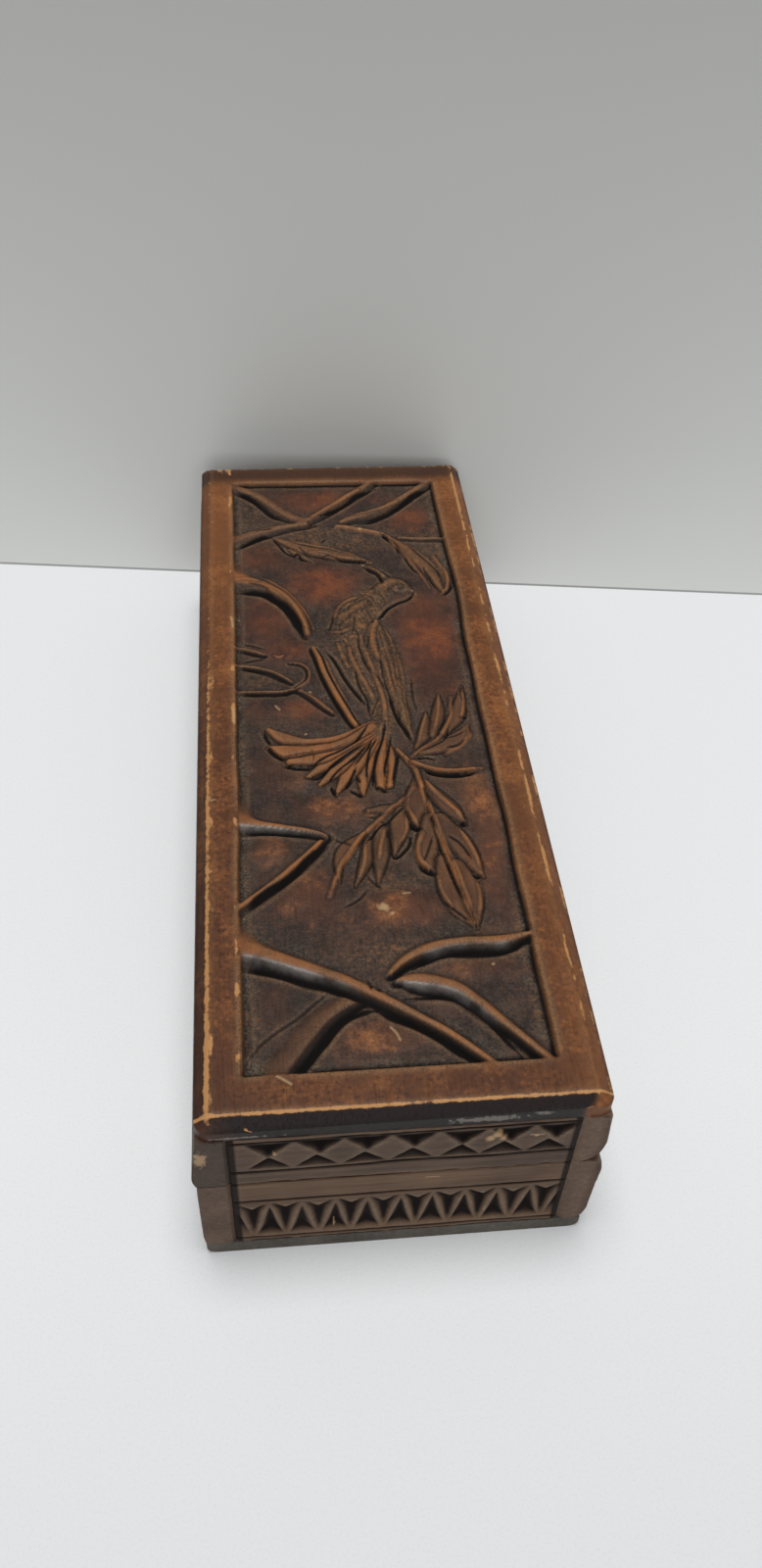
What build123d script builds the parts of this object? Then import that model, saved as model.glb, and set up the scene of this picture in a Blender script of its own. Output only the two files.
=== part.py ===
import os

from build123d import *

# Long wooden box with a carved hinged lid, in millimetres.
# X runs across the box with the hinges at -X, Y along it with the carved end
# of the lid's branches at -Y, and Z up from the table.

# Lid board
board_length = 285.0
board_width = 100.0
board_thickness = 6.3
bevel_width = 3.3
bevel_drop = 2.4

# Frames under the board: end boards set between the two long sides
frame_overhang = 0.4
end_thickness = 8.0
side_thickness = 7.2
lid_frame_height = 21.2
base_frame_height = 31.0
bottom_thickness = 5.2
joint_gap = 0.3
corner_groove = 0.85

# How far the outer faces of the long sides stand out from the lid board's edge
lid_back_swell = 1.8
lid_back_joint = 0.9
lid_front_swell = 0.7
lid_front_joint = -3.5
base_back_top = 1.0
base_back_joint = 0.9
base_front_top = 1.4
base_front_joint = -0.2
base_low = 1.0
base_back_foot = 0.5
base_front_foot = -0.7

# Heights of those places above the joint or the bottom board
lid_back_swell_height = 5.5
lid_front_swell_height = 7.5
shoulder_height = 5.2
foot_height = 4.3
bottom_round = 2.8

# Chip-carved bands
panel_margin = 0.8
side_margin = 10.0
line_width = 0.7
line_depth = 0.6
lid_line_height = 6.2
lid_top_line_drop = 1.3
lid_chip_foot = 7.3
lid_chip_head_drop = 2.4
chip_pitch = 11.6
chip_half_width = 5.3
upper_chip_height = 5.2
lower_chip_height = 4.7
lid_chip_depth = 1.7
chip_row_shift = 1.6
base_line_drop = 9.0
base_foot_line = 1.9
zigzag_foot = 3.1
zigzag_head_drop = 10.2
zigzag_pitch = 8.4
tooth_depth = 3.2
ridge_flat = 0.4
zigzag_depth = 2.2

# Sunk field of the lid and the branches left standing in it
side_border = 11.9
end_border = 13.3
field_depth = 2.2
field_wall_angle = 35
branch_height = 2.0
bird_height = 1.9
feather_height = 1.7
leaf_height = 1.6
carving_root = 0.5
crest_share = 0.45
bird_crest_share = 0.7

# Brass butt hinges
hinge_inset = 57.9
leaf_length = 24.0
leaf_reach = 6.0
leaf_thickness = 0.7
pin_radius = 0.6
pin_clearance = 0.05
knuckle_radius = 1.2
knuckle_gap = 0.2
axis_offset = 0.15
mortise_clearance = 0.1
barrel_clearance = 0.25
screw_radius = 0.8
screw_head_radius = 1.5
screw_tip_radius = 0.3
screw_length = 7.5
screw_sides = 8
screw_spacing = 14.0
screw_slot_width = 0.4
screw_slot_depth = 0.25

# Cut brads
brad_width = 1.2
brad_tip_width = 0.5
brad_head_width = 2.1
brad_head_thickness = 0.5
brad_sink = 0.6
corner_brad_length = 19.0
corner_brad_margin = 7.0
bottom_brad_length = 15.0
bottom_brad_inset = 3.4
bottom_brad_end = 28.9
bottom_brads_a_side = 4

# Heights and reaches that follow
half_board = board_width / 2
frame_length = board_length + 2 * frame_overhang
clear_half_width = half_board - side_thickness
panel_width = 2 * (clear_half_width - panel_margin)
base_joint_z = bottom_thickness + base_frame_height
lid_joint_z = base_joint_z + joint_gap
hinge_z = (base_joint_z + lid_joint_z) / 2
lid_top_z = lid_joint_z + lid_frame_height
top_z = lid_top_z + board_thickness
half_frame = frame_length / 2
hinge_place = half_frame - hinge_inset
hinge_reach = half_board + max(lid_back_joint, base_back_joint) + axis_offset
front_reach = half_board + max(lid_front_swell, base_front_top, base_low)
back_reach = hinge_reach + knuckle_radius
# The lid board's middle stands off the origin, so that the origin is the
# middle of the whole box with its hinge knuckles
middle = (back_reach - front_reach) / 2
screw_reach = half_board + lid_back_joint - leaf_reach / 2
plate_width = hinge_reach - half_board - lid_back_joint + leaf_reach
field_half_width = half_board - side_border
field_half_length = board_length / 2 - end_border
field_floor_z = top_z - field_depth
# The carving is drawn on a field of 76.2 x 258.4 and stretches with it
stretch_x = field_half_width / 38.1
stretch_y = field_half_length / 129.2

# Branches in the field as (x, y, half width), from the field's middle
branches = [
    # Crossing branches at the near end
    [(-39, -91, 6.5), (-30, -95, 4.5), (-20, -99.3, 3.6), (-12, -104, 3.2),
     (-4, -109, 3.0), (4, -114.2, 2.9), (12, -120.5, 2.9), (23, -131, 3.2)],
    [(-2, -101.5, 2.2), (4, -98, 2.4), (10, -95.3, 2.4), (16, -93.2, 2.4),
     (26, -93.2, 2.5), (33, -92.6, 1.9), (40, -91, 1.2)],
    [(-1, -104.5, 2.0), (5, -104.7, 3.0), (11, -105, 3.3), (17, -108, 3.2),
     (23, -113.5, 2.9), (28, -120, 2.5), (37, -131, 2.6)],
    [(-8, -107, 4.0), (-14, -110.5, 5.0), (-20, -115, 5.5), (-26, -121, 6.0),
     (-33, -131, 6.5)],
    # Forked twig at the left
    [(-40, -46, 4.5), (-32, -48.2, 2.3), (-25, -49.8, 1.8), (-19, -51.2, 1.6),
     (-14, -52.8, 1.5)],
    [(-14, -54, 1.2), (-20, -59.5, 1.6), (-27, -67, 1.7), (-33, -72.8, 1.6),
     (-40, -79, 1.6)],
    # The bird's perch
    [(-40, 70, 8.0), (-33, 66.3, 4.0), (-27, 63, 2.9), (-22, 57.5, 2.6),
     (-18, 50, 2.2), (-15, 42, 2.0), (-13.3, 34, 1.7), (-11.5, 25, 1.6),
     (-9, 15, 1.6), (-6.3, 5, 1.6), (-3, -4, 1.6), (0.5, -11, 1.3)],
    # Two thin twigs under the perch
    [(-40, 10, 1.2), (-30, 9.3, 1.1), (-20, 10, 1.0), (-15, 6.5, 1.1),
     (-10.5, 1, 1.1), (-7, -3, 1.0)],
    [(-40, 22.5, 1.2), (-30, 19.5, 1.2), (-25, 16.5, 1.1), (-20, 11.5, 1.0)],
    # Branches spreading from a knot at the far end
    [(-40, 129, 3.0), (-30, 119, 3.0), (-23, 110, 3.0), (-16, 104, 3.5), (-8, 101.5, 4.0)],
    [(-8, 103, 3.2), (-3, 109, 2.6), (4, 115.5, 2.4), (10, 121.5, 2.2), (16, 131, 2.0)],
    [(-4, 103, 2.6), (6, 106, 2.8), (15, 109.5, 2.6), (22, 114.5, 2.6),
     (29, 121, 2.6), (39, 131, 2.6)],
    [(-8, 101.5, 4.0), (-16, 100.5, 3.2), (-24, 98.5, 3.0), (-32, 94, 2.8), (-40, 88, 2.6)],
    [(-2, 102, 3.0), (8, 98.5, 2.6), (16, 95, 2.2), (25, 92.5, 1.8), (40, 91.5, 1.8)],
]

# The bird: its body down to the tail, its head with the beak, and its crest
bird = [
    [(13, 60, 5), (8.5, 56, 7), (4.5, 50, 8.7), (3, 42, 9.8), (3.2, 33, 10.4), (4.2, 25, 10.2),
     (5.8, 17, 9.2), (7.2, 9, 7.6), (8.2, 2, 5.6), (7.5, -6, 4.2), (6, -12, 4)],
    [(9.5, 61, 3.6), (14.5, 64, 5.2), (18.5, 63.5, 4.2), (21.5, 61, 2.4), (24.2, 58.4, 0.5)],
    [(15, 66, 2.6), (12, 70.5, 2.2), (8.5, 75, 0.9)],
]

# Its tail feathers, from the top one round to the right
feathers = [
    [(3, -8, 2.2), (-7, -14, 1.5), (-17, -15.7, 1.3), (-25, -13.5, 1.8), (-28.5, -8.5, 1.0)],
    [(3, -10, 1.8), (-7, -16.2, 1.2), (-17, -17.8, 1.5), (-24, -18, 2.2), (-28.5, -16.5, 1.4)],
    [(3, -12, 1.4), (-7, -18.6, 1.0), (-14, -22, 2.2), (-22, -22.8, 1.6)],
    [(3.5, -13, 1.2), (-5, -19.2, 1.1), (-11, -24.2, 1.6), (-17, -29.2, 1.1)],
    [(4, -14, 1.2), (-3, -21, 1.2), (-8.5, -27, 1.5), (-14, -32.2, 1.2)],
    [(4.5, -14, 1.2), (0, -21, 1.3), (-5, -28, 2.0), (-9.6, -36, 0.9)],
    [(5.5, -13, 1.2), (2.6, -20, 1.4), (-0.4, -28, 2.2), (-2, -37.2, 1.2)],
    [(7.5, -8, 2.2), (7.4, -18, 2.2), (5.8, -27, 2.7), (4.4, -35, 2.3)],
]

# Leaves and their stalks, each as a midrib and its lobes
leaves = [
    # Stalk under the tail with a short twig to the right
    [(10, -19, 0.9), (12.4, -23.5, 1.2), (14.5, -28, 1.3), (15.6, -35, 1.2)],
    [(14, -25, 1.1), (19, -27.8, 0.9), (25, -29.2, 0.8), (33, -28.6, 0.4)],
    # Long leaf hanging from it
    [(15.3, -33, 1.2), (17, -45, 1.3), (19, -58, 1.3), (21.3, -72, 1.1), (24, -88, 0.4)],
    [(14.5, -31, 0.8), (12.2, -38, 1.7), (11.8, -46, 1.8), (14, -51.5, 0.7)],
    [(15.5, -50, 0.9), (13, -58, 1.7), (13, -64, 1.7), (15.6, -67.5, 0.6)],
    [(17.5, -66, 0.9), (17, -73, 1.3), (19, -81, 1.3), (23.4, -87.6, 0.4)],
    [(17.5, -33, 0.8), (21, -39, 1.3), (24.5, -44.5, 1.7), (25.8, -49, 1.0)],
    [(20.5, -49, 0.9), (25, -56, 1.8), (27.2, -63, 1.8), (27, -69, 0.8)],
    [(23.5, -67, 0.8), (25.8, -73, 1.5), (26.2, -80, 1.2), (24.4, -87, 0.4)],
    # Leaf to its left
    [(13, -36, 1.0), (7, -43.5, 1.1), (0, -50.3, 1.2), (-5.5, -57.5, 1.0), (-9.5, -66, 0.9),
     (-12.6, -76, 0.4)],
    [(9, -42, 0.8), (3.5, -43.6, 1.8), (-1.2, -43.5, 0.9)],
    [(8.5, -44.5, 0.9), (8.3, -51, 2.2), (4.6, -60.6, 0.8)],
    [(1, -52, 0.9), (1.2, -61, 2.0), (-0.6, -71, 0.7)],
    [(-3.5, -57, 0.7), (-3, -63, 1.4), (-6.5, -71, 0.6)],
    [(-3, -53.4, 0.7), (-8, -57, 1.5), (-10, -63, 1.2), (-10, -69, 0.5)],
    # Leaf to the right of the tail
    [(13.5, -22.5, 0.9), (18, -18.5, 1.2), (24, -14, 1.3), (27.5, -6, 1.2), (29.5, 6, 0.5)],
    [(17, -20.8, 0.8), (24.5, -18, 1.9), (29.5, -14, 2.2), (32, -9, 0.9)],
    [(26, -12, 0.8), (30, -5, 2.0), (32, 2, 1.5), (33.4, 9, 0.5)],
    [(16, -18, 0.8), (19.5, -11, 1.7), (21, -4, 0.6)],
    [(21.5, -13, 0.8), (24, -3, 1.6), (25.6, 5, 0.5)],
    # Leaves over the bird's head
    [(-22, 92.4, 0.9), (-14, 88, 2.6), (-6, 84.4, 3.6), (2, 81.2, 3.2), (9, 77.8, 0.9)],
    [(17, 94, 1.0), (22, 86.5, 2.4), (26.2, 78, 3.0), (29.8, 70.5, 2.8), (33.5, 59, 0.8)],
    [(31, 76, 0.8), (35, 70, 1.2), (36, 60.5, 0.6)],
]

os.makedirs("parts", exist_ok=True)


def cross_section(y):
    # Looking along +Y: local x is X from the lid board's middle, local y is Z
    return Plane(origin=(middle, y, 0), x_dir=(1, 0, 0), z_dir=(0, -1, 0))


def level(z):
    return Plane(origin=(middle, 0, z))


def pit(outline, low_point, depth, rise=0.25):
    # A chip: a pyramid cut into the face z = 0 under its outline, deepest at
    # low_point. Its sides run on above the face, so that it cuts clear.
    grow = 1 + rise / depth
    apex = Vector(low_point[0], low_point[1], -depth)
    rim = [apex + (Vector(x, y, 0) - apex) * grow for x, y in outline]
    sides = [
        Face(Wire.make_polygon([rim[i - 1], rim[i], apex])) for i in range(len(rim))
    ]
    return Solid(Shell([Face(Wire.make_polygon(rim)), *sides]))


def line_cut(length):
    # A scored line: a V along local x, run on above the face
    with BuildPart(mode=Mode.PRIVATE) as cut:
        with BuildSketch(Plane.YZ.offset(-length / 2)):
            Polygon(
                (-line_width, line_depth), (line_width, line_depth), (0, -line_depth), align=None,
            )
        extrude(amount=length)
    return cut.part


def spread(length, pitch):
    # Centres of as many repeats as fit along a band
    count = int(length / pitch + 0.02)
    return [pitch * (i - (count - 1) / 2) for i in range(count)]


def carve_lid_band(face, length, height, shift):
    # face: plane on the outer surface, local x along the band, local y up from
    # the joint. Two rows of chips leave a row of flat diamonds between them.
    head = height - lid_chip_head_drop
    foot = lid_chip_foot
    half = chip_half_width
    upper = pit(
        [(-half, 0), (0, -upper_chip_height), (half, 0)],
        (0, -0.72 * upper_chip_height), lid_chip_depth,
    )
    lower = pit(
        [(-half, 0), (half, 0), (0, lower_chip_height)],
        (0, 0.72 * lower_chip_height), lid_chip_depth,
    )
    line = line_cut(length)
    centres = [shift + x for x in spread(length, chip_pitch)]
    with Locations(face):
        with Locations(*[(x, head) for x in centres]):
            add(upper, mode=Mode.SUBTRACT)
        with Locations(*[(x, foot) for x in centres]):
            add(lower, mode=Mode.SUBTRACT)
        with Locations((0, lid_line_height), (0, height - lid_top_line_drop)):
            add(line, mode=Mode.SUBTRACT)


def carve_base_band(face, length, height):
    # Small flat teeth hang from a scored line, and sharp ridges run down from
    # between them, with a pit on each side of every ridge.
    head = height - zigzag_head_drop
    foot = zigzag_foot
    tall = head - foot
    half = zigzag_pitch / 2
    hanging = pit(
        [(-half + ridge_flat, tall), (0, tall - tooth_depth), (half - ridge_flat, tall),
         (ridge_flat, 0), (-ridge_flat, 0)],
        (0, tall - 1.65 * tooth_depth), zigzag_depth,
    )
    spread_foot = half - 2 * ridge_flat
    standing = pit(
        [(-spread_foot, 0), (spread_foot, 0), (0, tall - 2 * ridge_flat)],
        (0, 0.48 * tall), zigzag_depth,
    )
    end_standing = pit(
        [(ridge_flat, 0), (spread_foot, 0), (ridge_flat, tall - 2 * ridge_flat)],
        (0.3 * half, 0.45 * tall), zigzag_depth / 2,
    )
    line = line_cut(length)
    centres = spread(length, zigzag_pitch)
    last = centres[-1] + half
    with Locations(face):
        with Locations(*[(x, foot) for x in centres]):
            add(hanging, mode=Mode.SUBTRACT)
        with Locations(*[(x + half, foot) for x in centres[:-1]]):
            add(standing, mode=Mode.SUBTRACT)
        with Locations((-last, foot)):
            add(end_standing, mode=Mode.SUBTRACT)
        with Locations((last, foot)):
            add(end_standing.mirror(Plane.YZ), mode=Mode.SUBTRACT)
        with Locations((0, height - base_line_drop), (0, base_foot_line)):
            add(line, mode=Mode.SUBTRACT)


def flank_plane(side, low, high):
    # Plane on a long side's outer face through two (reach, z) points
    lean = Vector(side * (high[0] - low[0]), 0, high[1] - low[1]).normalized()
    along = Vector(0, side, 0)
    origin = Vector(middle + side * low[0], 0, low[1])
    return Plane(origin=origin, x_dir=along, z_dir=along.cross(lean))


def brad(length):
    # Cut brad: a square shank that tapers to its tip under a flat head, the
    # head's top at z = 0 and the tip down
    with BuildPart(mode=Mode.PRIVATE) as nail:
        with BuildSketch(Plane.XY.offset(-brad_head_thickness)):
            Rectangle(brad_width, brad_width)
        with BuildSketch(Plane.XY.offset(-length)):
            Rectangle(brad_tip_width, brad_tip_width)
        loft(ruled=True)
        with Locations((0, 0, -brad_head_thickness / 2)):
            Box(brad_head_width, brad_head_width, brad_head_thickness)
    return nail.part


def screw():
    # Countersunk wood screw in flat facets, its head's top at z = 0
    cone = screw_head_radius - screw_radius
    with BuildPart(mode=Mode.PRIVATE) as wood_screw:
        for z, radius in (
            (0, screw_head_radius), (-cone, screw_radius), (-screw_length, screw_tip_radius),
        ):
            with BuildSketch(Plane.XY.offset(z)):
                RegularPolygon(radius, screw_sides)
        loft(ruled=True)
    return wood_screw.part


def screw_slot():
    with BuildPart(mode=Mode.PRIVATE) as slot:
        with Locations((0, 0, -screw_slot_depth / 2)):
            Box(2 * screw_head_radius, screw_slot_width, screw_slot_depth)
    return slot.part


# Where the fixings stand
hinge_ys = [-hinge_place, hinge_place]
screw_ys = [y + s * screw_spacing / 2 for y in hinge_ys for s in (-1, 1)]
brad_y = half_frame - end_thickness / 2
base_brad_zs = [bottom_thickness + corner_brad_margin, base_joint_z - corner_brad_margin]
lid_brad_zs = [lid_joint_z + corner_brad_margin, lid_top_z - corner_brad_margin]
bottom_brad_ys = [
    (2 * i / (bottom_brads_a_side - 1) - 1) * (half_frame - bottom_brad_end)
    for i in range(bottom_brads_a_side)
]
bottom_brad_spots = [
    (side * (clear_half_width + bottom_brad_inset), y) for side in (-1, 1) for y in bottom_brad_ys
] + [(0, -brad_y), (0, brad_y)]
bottom_brad_places = [
    Location((middle + x, y, 0), (180, 0, 0)) for x, y in bottom_brad_spots
]


def corner_brad_places(zs, reach_at, sides=(-1, 1)):
    # Brads go in level through a long side into the end board's end
    places = []
    for side in sides:
        for z in zs:
            reach = reach_at(side, z) - brad_sink
            for y in (-brad_y, brad_y):
                places.append(Location(Plane(
                    origin=(middle + side * reach, y, z),
                    x_dir=(0, 1, 0), z_dir=(side, 0, 0),
                )))
    return places


def along_flank(low, high, z):
    return low[0] + (high[0] - low[0]) * (z - low[1]) / (high[1] - low[1])


lid_flanks = {
    -1: ((half_board + lid_back_swell, lid_joint_z + lid_back_swell_height),
         (half_board, lid_top_z)),
    1: ((half_board + lid_front_swell, lid_joint_z + lid_front_swell_height),
        (half_board, lid_top_z)),
}
base_flanks = {
    -1: ((half_board + base_low, bottom_thickness + foot_height),
         (half_board + base_back_top, base_joint_z - shoulder_height)),
    1: ((half_board + base_low, bottom_thickness + foot_height),
        (half_board + base_front_top, base_joint_z - shoulder_height)),
}
lid_joint_reach = {-1: half_board + lid_back_joint, 1: half_board + lid_front_joint}
base_joint_reach = {-1: half_board + base_back_joint, 1: half_board + base_front_joint}
foot_reach = {-1: half_board + base_back_foot, 1: half_board + base_front_foot}
lid_brad_places = corner_brad_places(lid_brad_zs, lambda s, z: along_flank(*lid_flanks[s], z))
base_brad_places = corner_brad_places(base_brad_zs, lambda s, z: along_flank(*base_flanks[s], z))


def drive_brads(places, length):
    # Holes for brads, each as wide as the shank and the head
    with Locations(*places):
        add(brad(length), mode=Mode.SUBTRACT)


def hinge_mortise(joint_z, into):
    # Room for a leaf in the joint face, and for the barrel beside it
    with Locations(*[
        (middle - hinge_reach + plate_width / 2, y, joint_z + into * leaf_thickness / 2)
        for y in hinge_ys
    ]):
        Box(plate_width, leaf_length + 2 * mortise_clearance, leaf_thickness, mode=Mode.SUBTRACT)
    # The arris is cut back at 45 degrees, clear of the barrel
    clear = 2 * (knuckle_radius + barrel_clearance)
    with Locations(*[
        Location((middle - hinge_reach, y, hinge_z), (0, 45, 0)) for y in hinge_ys
    ]):
        Box(clear, leaf_length + 2 * barrel_clearance, clear, mode=Mode.SUBTRACT)
    turn = 0 if into < 0 else 180
    with Locations(*[
        Location((middle - screw_reach, y, joint_z), (turn, 0, 0)) for y in screw_ys
    ]):
        add(screw(), mode=Mode.SUBTRACT)


def lid_side(side):
    low, high = lid_flanks[side]
    with BuildPart() as board:
        with BuildSketch(cross_section(half_frame)):
            with BuildLine():
                swell = (side * low[0], low[1])
                top = (side * high[0], high[1])
                joint = (side * lid_joint_reach[side], lid_joint_z)
                Line(top, swell)
                TangentArc(swell, joint, tangent=(swell[0] - top[0], swell[1] - top[1]))
                Polyline(
                    joint, (side * clear_half_width, lid_joint_z),
                    (side * clear_half_width, lid_top_z), top,
                )
            make_face()
        extrude(amount=frame_length)
        chamfer(inner_arrises(board, side), corner_groove)
        carve_lid_band(
            flank_plane(side, (along_flank(low, high, lid_joint_z), lid_joint_z), high),
            frame_length - 2 * side_margin, lid_frame_height, 0,
        )
        drive_brads(lid_brad_places, corner_brad_length)
        if side < 0:
            hinge_mortise(lid_joint_z, 1)
    return board


def base_side(side):
    low, high = base_flanks[side]
    with BuildPart() as board:
        with BuildSketch(cross_section(half_frame)):
            with BuildLine():
                shoulder = (side * high[0], high[1])
                ankle = (side * low[0], low[1])
                joint = (side * base_joint_reach[side], base_joint_z)
                foot = (side * foot_reach[side], bottom_thickness)
                rise = (shoulder[0] - ankle[0], shoulder[1] - ankle[1])
                Line(ankle, shoulder)
                TangentArc(shoulder, joint, tangent=rise)
                Polyline(
                    joint, (side * clear_half_width, base_joint_z),
                    (side * clear_half_width, bottom_thickness), foot, ankle,
                )
            make_face()
        extrude(amount=frame_length)
        chamfer(inner_arrises(board, side), corner_groove)
        carve_base_band(
            flank_plane(side, (along_flank(low, high, bottom_thickness), bottom_thickness), high),
            frame_length - 2 * side_margin, base_frame_height,
        )
        drive_brads(base_brad_places, corner_brad_length)
        drive_brads(bottom_brad_places, bottom_brad_length)
        if side < 0:
            hinge_mortise(base_joint_z, -1)
    return board


def inner_arrises(board, side):
    # The upright arrises at both ends of a long side, where the end boards meet it
    return board.edges().filter_by(Axis.Z).group_by(Axis.X)[0 if side > 0 else -1]


def end_board(end, joint_z, height, is_lid):
    # end is -1 for the near end and 1 for the far one
    outer = end * half_frame
    with BuildPart() as board:
        with Locations((middle, outer - end * end_thickness / 2, joint_z + height / 2)):
            Box(2 * clear_half_width, end_thickness, height)
        upright = board.edges().filter_by(Axis.Z).group_by(Axis.Y)
        chamfer(upright[0 if end < 0 else -1], corner_groove)
        face = Plane(origin=(middle, outer, joint_z), x_dir=(-end, 0, 0), z_dir=(0, end, 0))
        if is_lid:
            carve_lid_band(face, panel_width, height, -end * chip_row_shift)
            drive_brads(lid_brad_places, corner_brad_length)
        else:
            carve_base_band(face, panel_width, height)
            drive_brads(base_brad_places, corner_brad_length)
            drive_brads(bottom_brad_places, bottom_brad_length)
    return board


def bottom():
    # Plain board under the base frame, its long lower arrises rounded
    with BuildPart() as board:
        with BuildSketch(cross_section(half_frame)):
            Polygon(
                (-foot_reach[-1], bottom_thickness), (-foot_reach[-1], 0),
                (foot_reach[1], 0), (foot_reach[1], bottom_thickness), align=None,
            )
        extrude(amount=frame_length)
        fillet(board.edges().filter_by(Axis.Y).group_by(Axis.Z)[0], bottom_round)
        drive_brads(bottom_brad_places, bottom_brad_length)
    return board


def bar(stations, height, share):
    # A raised form left standing in the sunk field: four-sided sections through
    # (x, y, half width) stations, with a flat crest a little under the border
    sections = []
    for i, (x, y, half) in enumerate(stations):
        before = stations[max(i - 1, 0)]
        after = stations[min(i + 1, len(stations) - 1)]
        run = Vector(
            (after[0] - before[0]) * stretch_x, (after[1] - before[1]) * stretch_y, 0
        ).normalized()
        across = Vector(-run.Y, run.X, 0) * half * stretch_x
        spot = Vector(middle + x * stretch_x, y * stretch_y, field_floor_z)
        crest = Vector(0, 0, height)
        root = Vector(0, 0, -carving_root)
        sections.append(Wire.make_polygon([
            spot + across + root, spot + across * share + crest,
            spot - across * share + crest, spot - across + root,
        ]))
    return Solid.make_loft(sections, ruled=True)


def carved_lid_board():
    with BuildPart() as board:
        with Locations((middle, 0, lid_top_z + board_thickness / 2)):
            Box(board_width, board_length, board_thickness)
        chamfer(board.edges().group_by(Axis.Z)[-1], bevel_drop, bevel_width)
        with BuildSketch(level(top_z)):
            Rectangle(2 * field_half_width, 2 * field_half_length)
        extrude(amount=-field_depth, taper=field_wall_angle, mode=Mode.SUBTRACT)
        for forms, height, share in (
            (branches, branch_height, crest_share),
            (bird, bird_height, bird_crest_share),
            (feathers, feather_height, crest_share),
            (leaves, leaf_height, crest_share),
        ):
            for stations in forms:
                add(bar(stations, height, share))
    return board


def knuckle_spots(y, numbers):
    # On a hinge's axis, local z along it, at the knuckles of these numbers
    return Locations(*[
        Location((middle - hinge_reach, y + leaf_length / 3 * n, hinge_z), (90, 0, 0))
        for n in numbers
    ])


def hinge_leaf(y, joint_z, into, own, other):
    # into is -1 for the leaf let into the base and 1 for the lid's. own and
    # other are the knuckles of this leaf and of its mate, numbered along the pin.
    knuckle = leaf_length / 3
    notch = 2 * (knuckle_radius + knuckle_gap)
    turn = 0 if into < 0 else 180
    with BuildPart() as leaf:
        with Locations((
            middle - hinge_reach + plate_width / 2, y, joint_z + into * leaf_thickness / 2,
        )):
            Box(plate_width, leaf_length, leaf_thickness)
        with knuckle_spots(y, other):
            Box(notch, notch, knuckle + knuckle_gap, mode=Mode.SUBTRACT)
        with knuckle_spots(y, own):
            Cylinder(knuckle_radius, knuckle - knuckle_gap)
        with knuckle_spots(y, [0]):
            Cylinder(pin_radius + pin_clearance, 2 * leaf_length, mode=Mode.SUBTRACT)
        with Locations(*[
            Location((middle - screw_reach, y + s * screw_spacing / 2, joint_z), (turn, 0, 0))
            for s in (-1, 1)
        ]):
            add(screw(), mode=Mode.SUBTRACT)
    return leaf


def hinge_pin(y):
    with BuildPart() as pin:
        with knuckle_spots(y, [0]):
            Cylinder(pin_radius, leaf_length)
    return pin


def hinge_screws(joint_z, into):
    turn = 0 if into < 0 else 180
    with BuildPart() as screws:
        with Locations(*[
            Location((middle - screw_reach, y, joint_z), (turn, 0, 0)) for y in screw_ys
        ]):
            add(screw())
            add(screw_slot(), mode=Mode.SUBTRACT)
    return screws


def brads(places, length):
    with BuildPart() as nails:
        with Locations(*places):
            add(brad(length))
    return nails


def finish(piece, name):
    piece.part.label = name
    export_step(piece.part, f"parts/{name}.step")


# Lid frame and base frame
finish(lid_side(-1), "lid_back_side")
finish(lid_side(1), "lid_front_side")
finish(end_board(-1, lid_joint_z, lid_frame_height, True), "lid_near_end")
finish(end_board(1, lid_joint_z, lid_frame_height, True), "lid_far_end")
finish(base_side(-1), "base_back_side")
finish(base_side(1), "base_front_side")
finish(end_board(-1, bottom_thickness, base_frame_height, False), "base_near_end")
finish(end_board(1, bottom_thickness, base_frame_height, False), "base_far_end")

# Boards that close them
finish(carved_lid_board(), "lid_board")
finish(bottom(), "bottom_board")

# Hinges: the lid leaf has the middle knuckle, the base leaf the outer two
for name, y in (("near_hinge", -hinge_place), ("far_hinge", hinge_place)):
    finish(hinge_leaf(y, lid_joint_z, 1, [0], [-1, 1]), f"{name}_lid_leaf")
    finish(hinge_leaf(y, base_joint_z, -1, [-1, 1], [0]), f"{name}_base_leaf")
    finish(hinge_pin(y), f"{name}_pin")
finish(hinge_screws(lid_joint_z, 1), "lid_hinge_screws")
finish(hinge_screws(base_joint_z, -1), "base_hinge_screws")

# Brads at the corners and through the bottom board
finish(brads(lid_brad_places, corner_brad_length), "lid_corner_brads")
finish(brads(base_brad_places, corner_brad_length), "base_corner_brads")
finish(brads(bottom_brad_places, bottom_brad_length), "bottom_board_brads")
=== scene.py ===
import bpy
import numpy as np
from mathutils import Matrix, Vector


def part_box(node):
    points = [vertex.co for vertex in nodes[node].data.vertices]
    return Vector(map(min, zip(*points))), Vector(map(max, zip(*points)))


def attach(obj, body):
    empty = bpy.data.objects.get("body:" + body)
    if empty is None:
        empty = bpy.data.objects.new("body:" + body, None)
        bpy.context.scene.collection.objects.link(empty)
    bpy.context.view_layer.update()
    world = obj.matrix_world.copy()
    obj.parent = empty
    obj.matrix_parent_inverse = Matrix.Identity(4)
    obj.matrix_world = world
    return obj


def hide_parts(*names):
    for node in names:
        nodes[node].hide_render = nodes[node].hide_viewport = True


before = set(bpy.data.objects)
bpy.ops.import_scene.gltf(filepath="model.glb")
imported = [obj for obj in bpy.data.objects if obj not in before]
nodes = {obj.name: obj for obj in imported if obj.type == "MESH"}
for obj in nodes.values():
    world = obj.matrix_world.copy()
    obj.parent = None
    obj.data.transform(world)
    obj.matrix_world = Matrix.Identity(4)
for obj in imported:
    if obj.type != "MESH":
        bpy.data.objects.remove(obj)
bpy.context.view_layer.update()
mm = 0.001
print("frame loaded")


# Camera: found by fitting the box's own edges in the photograph

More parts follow.
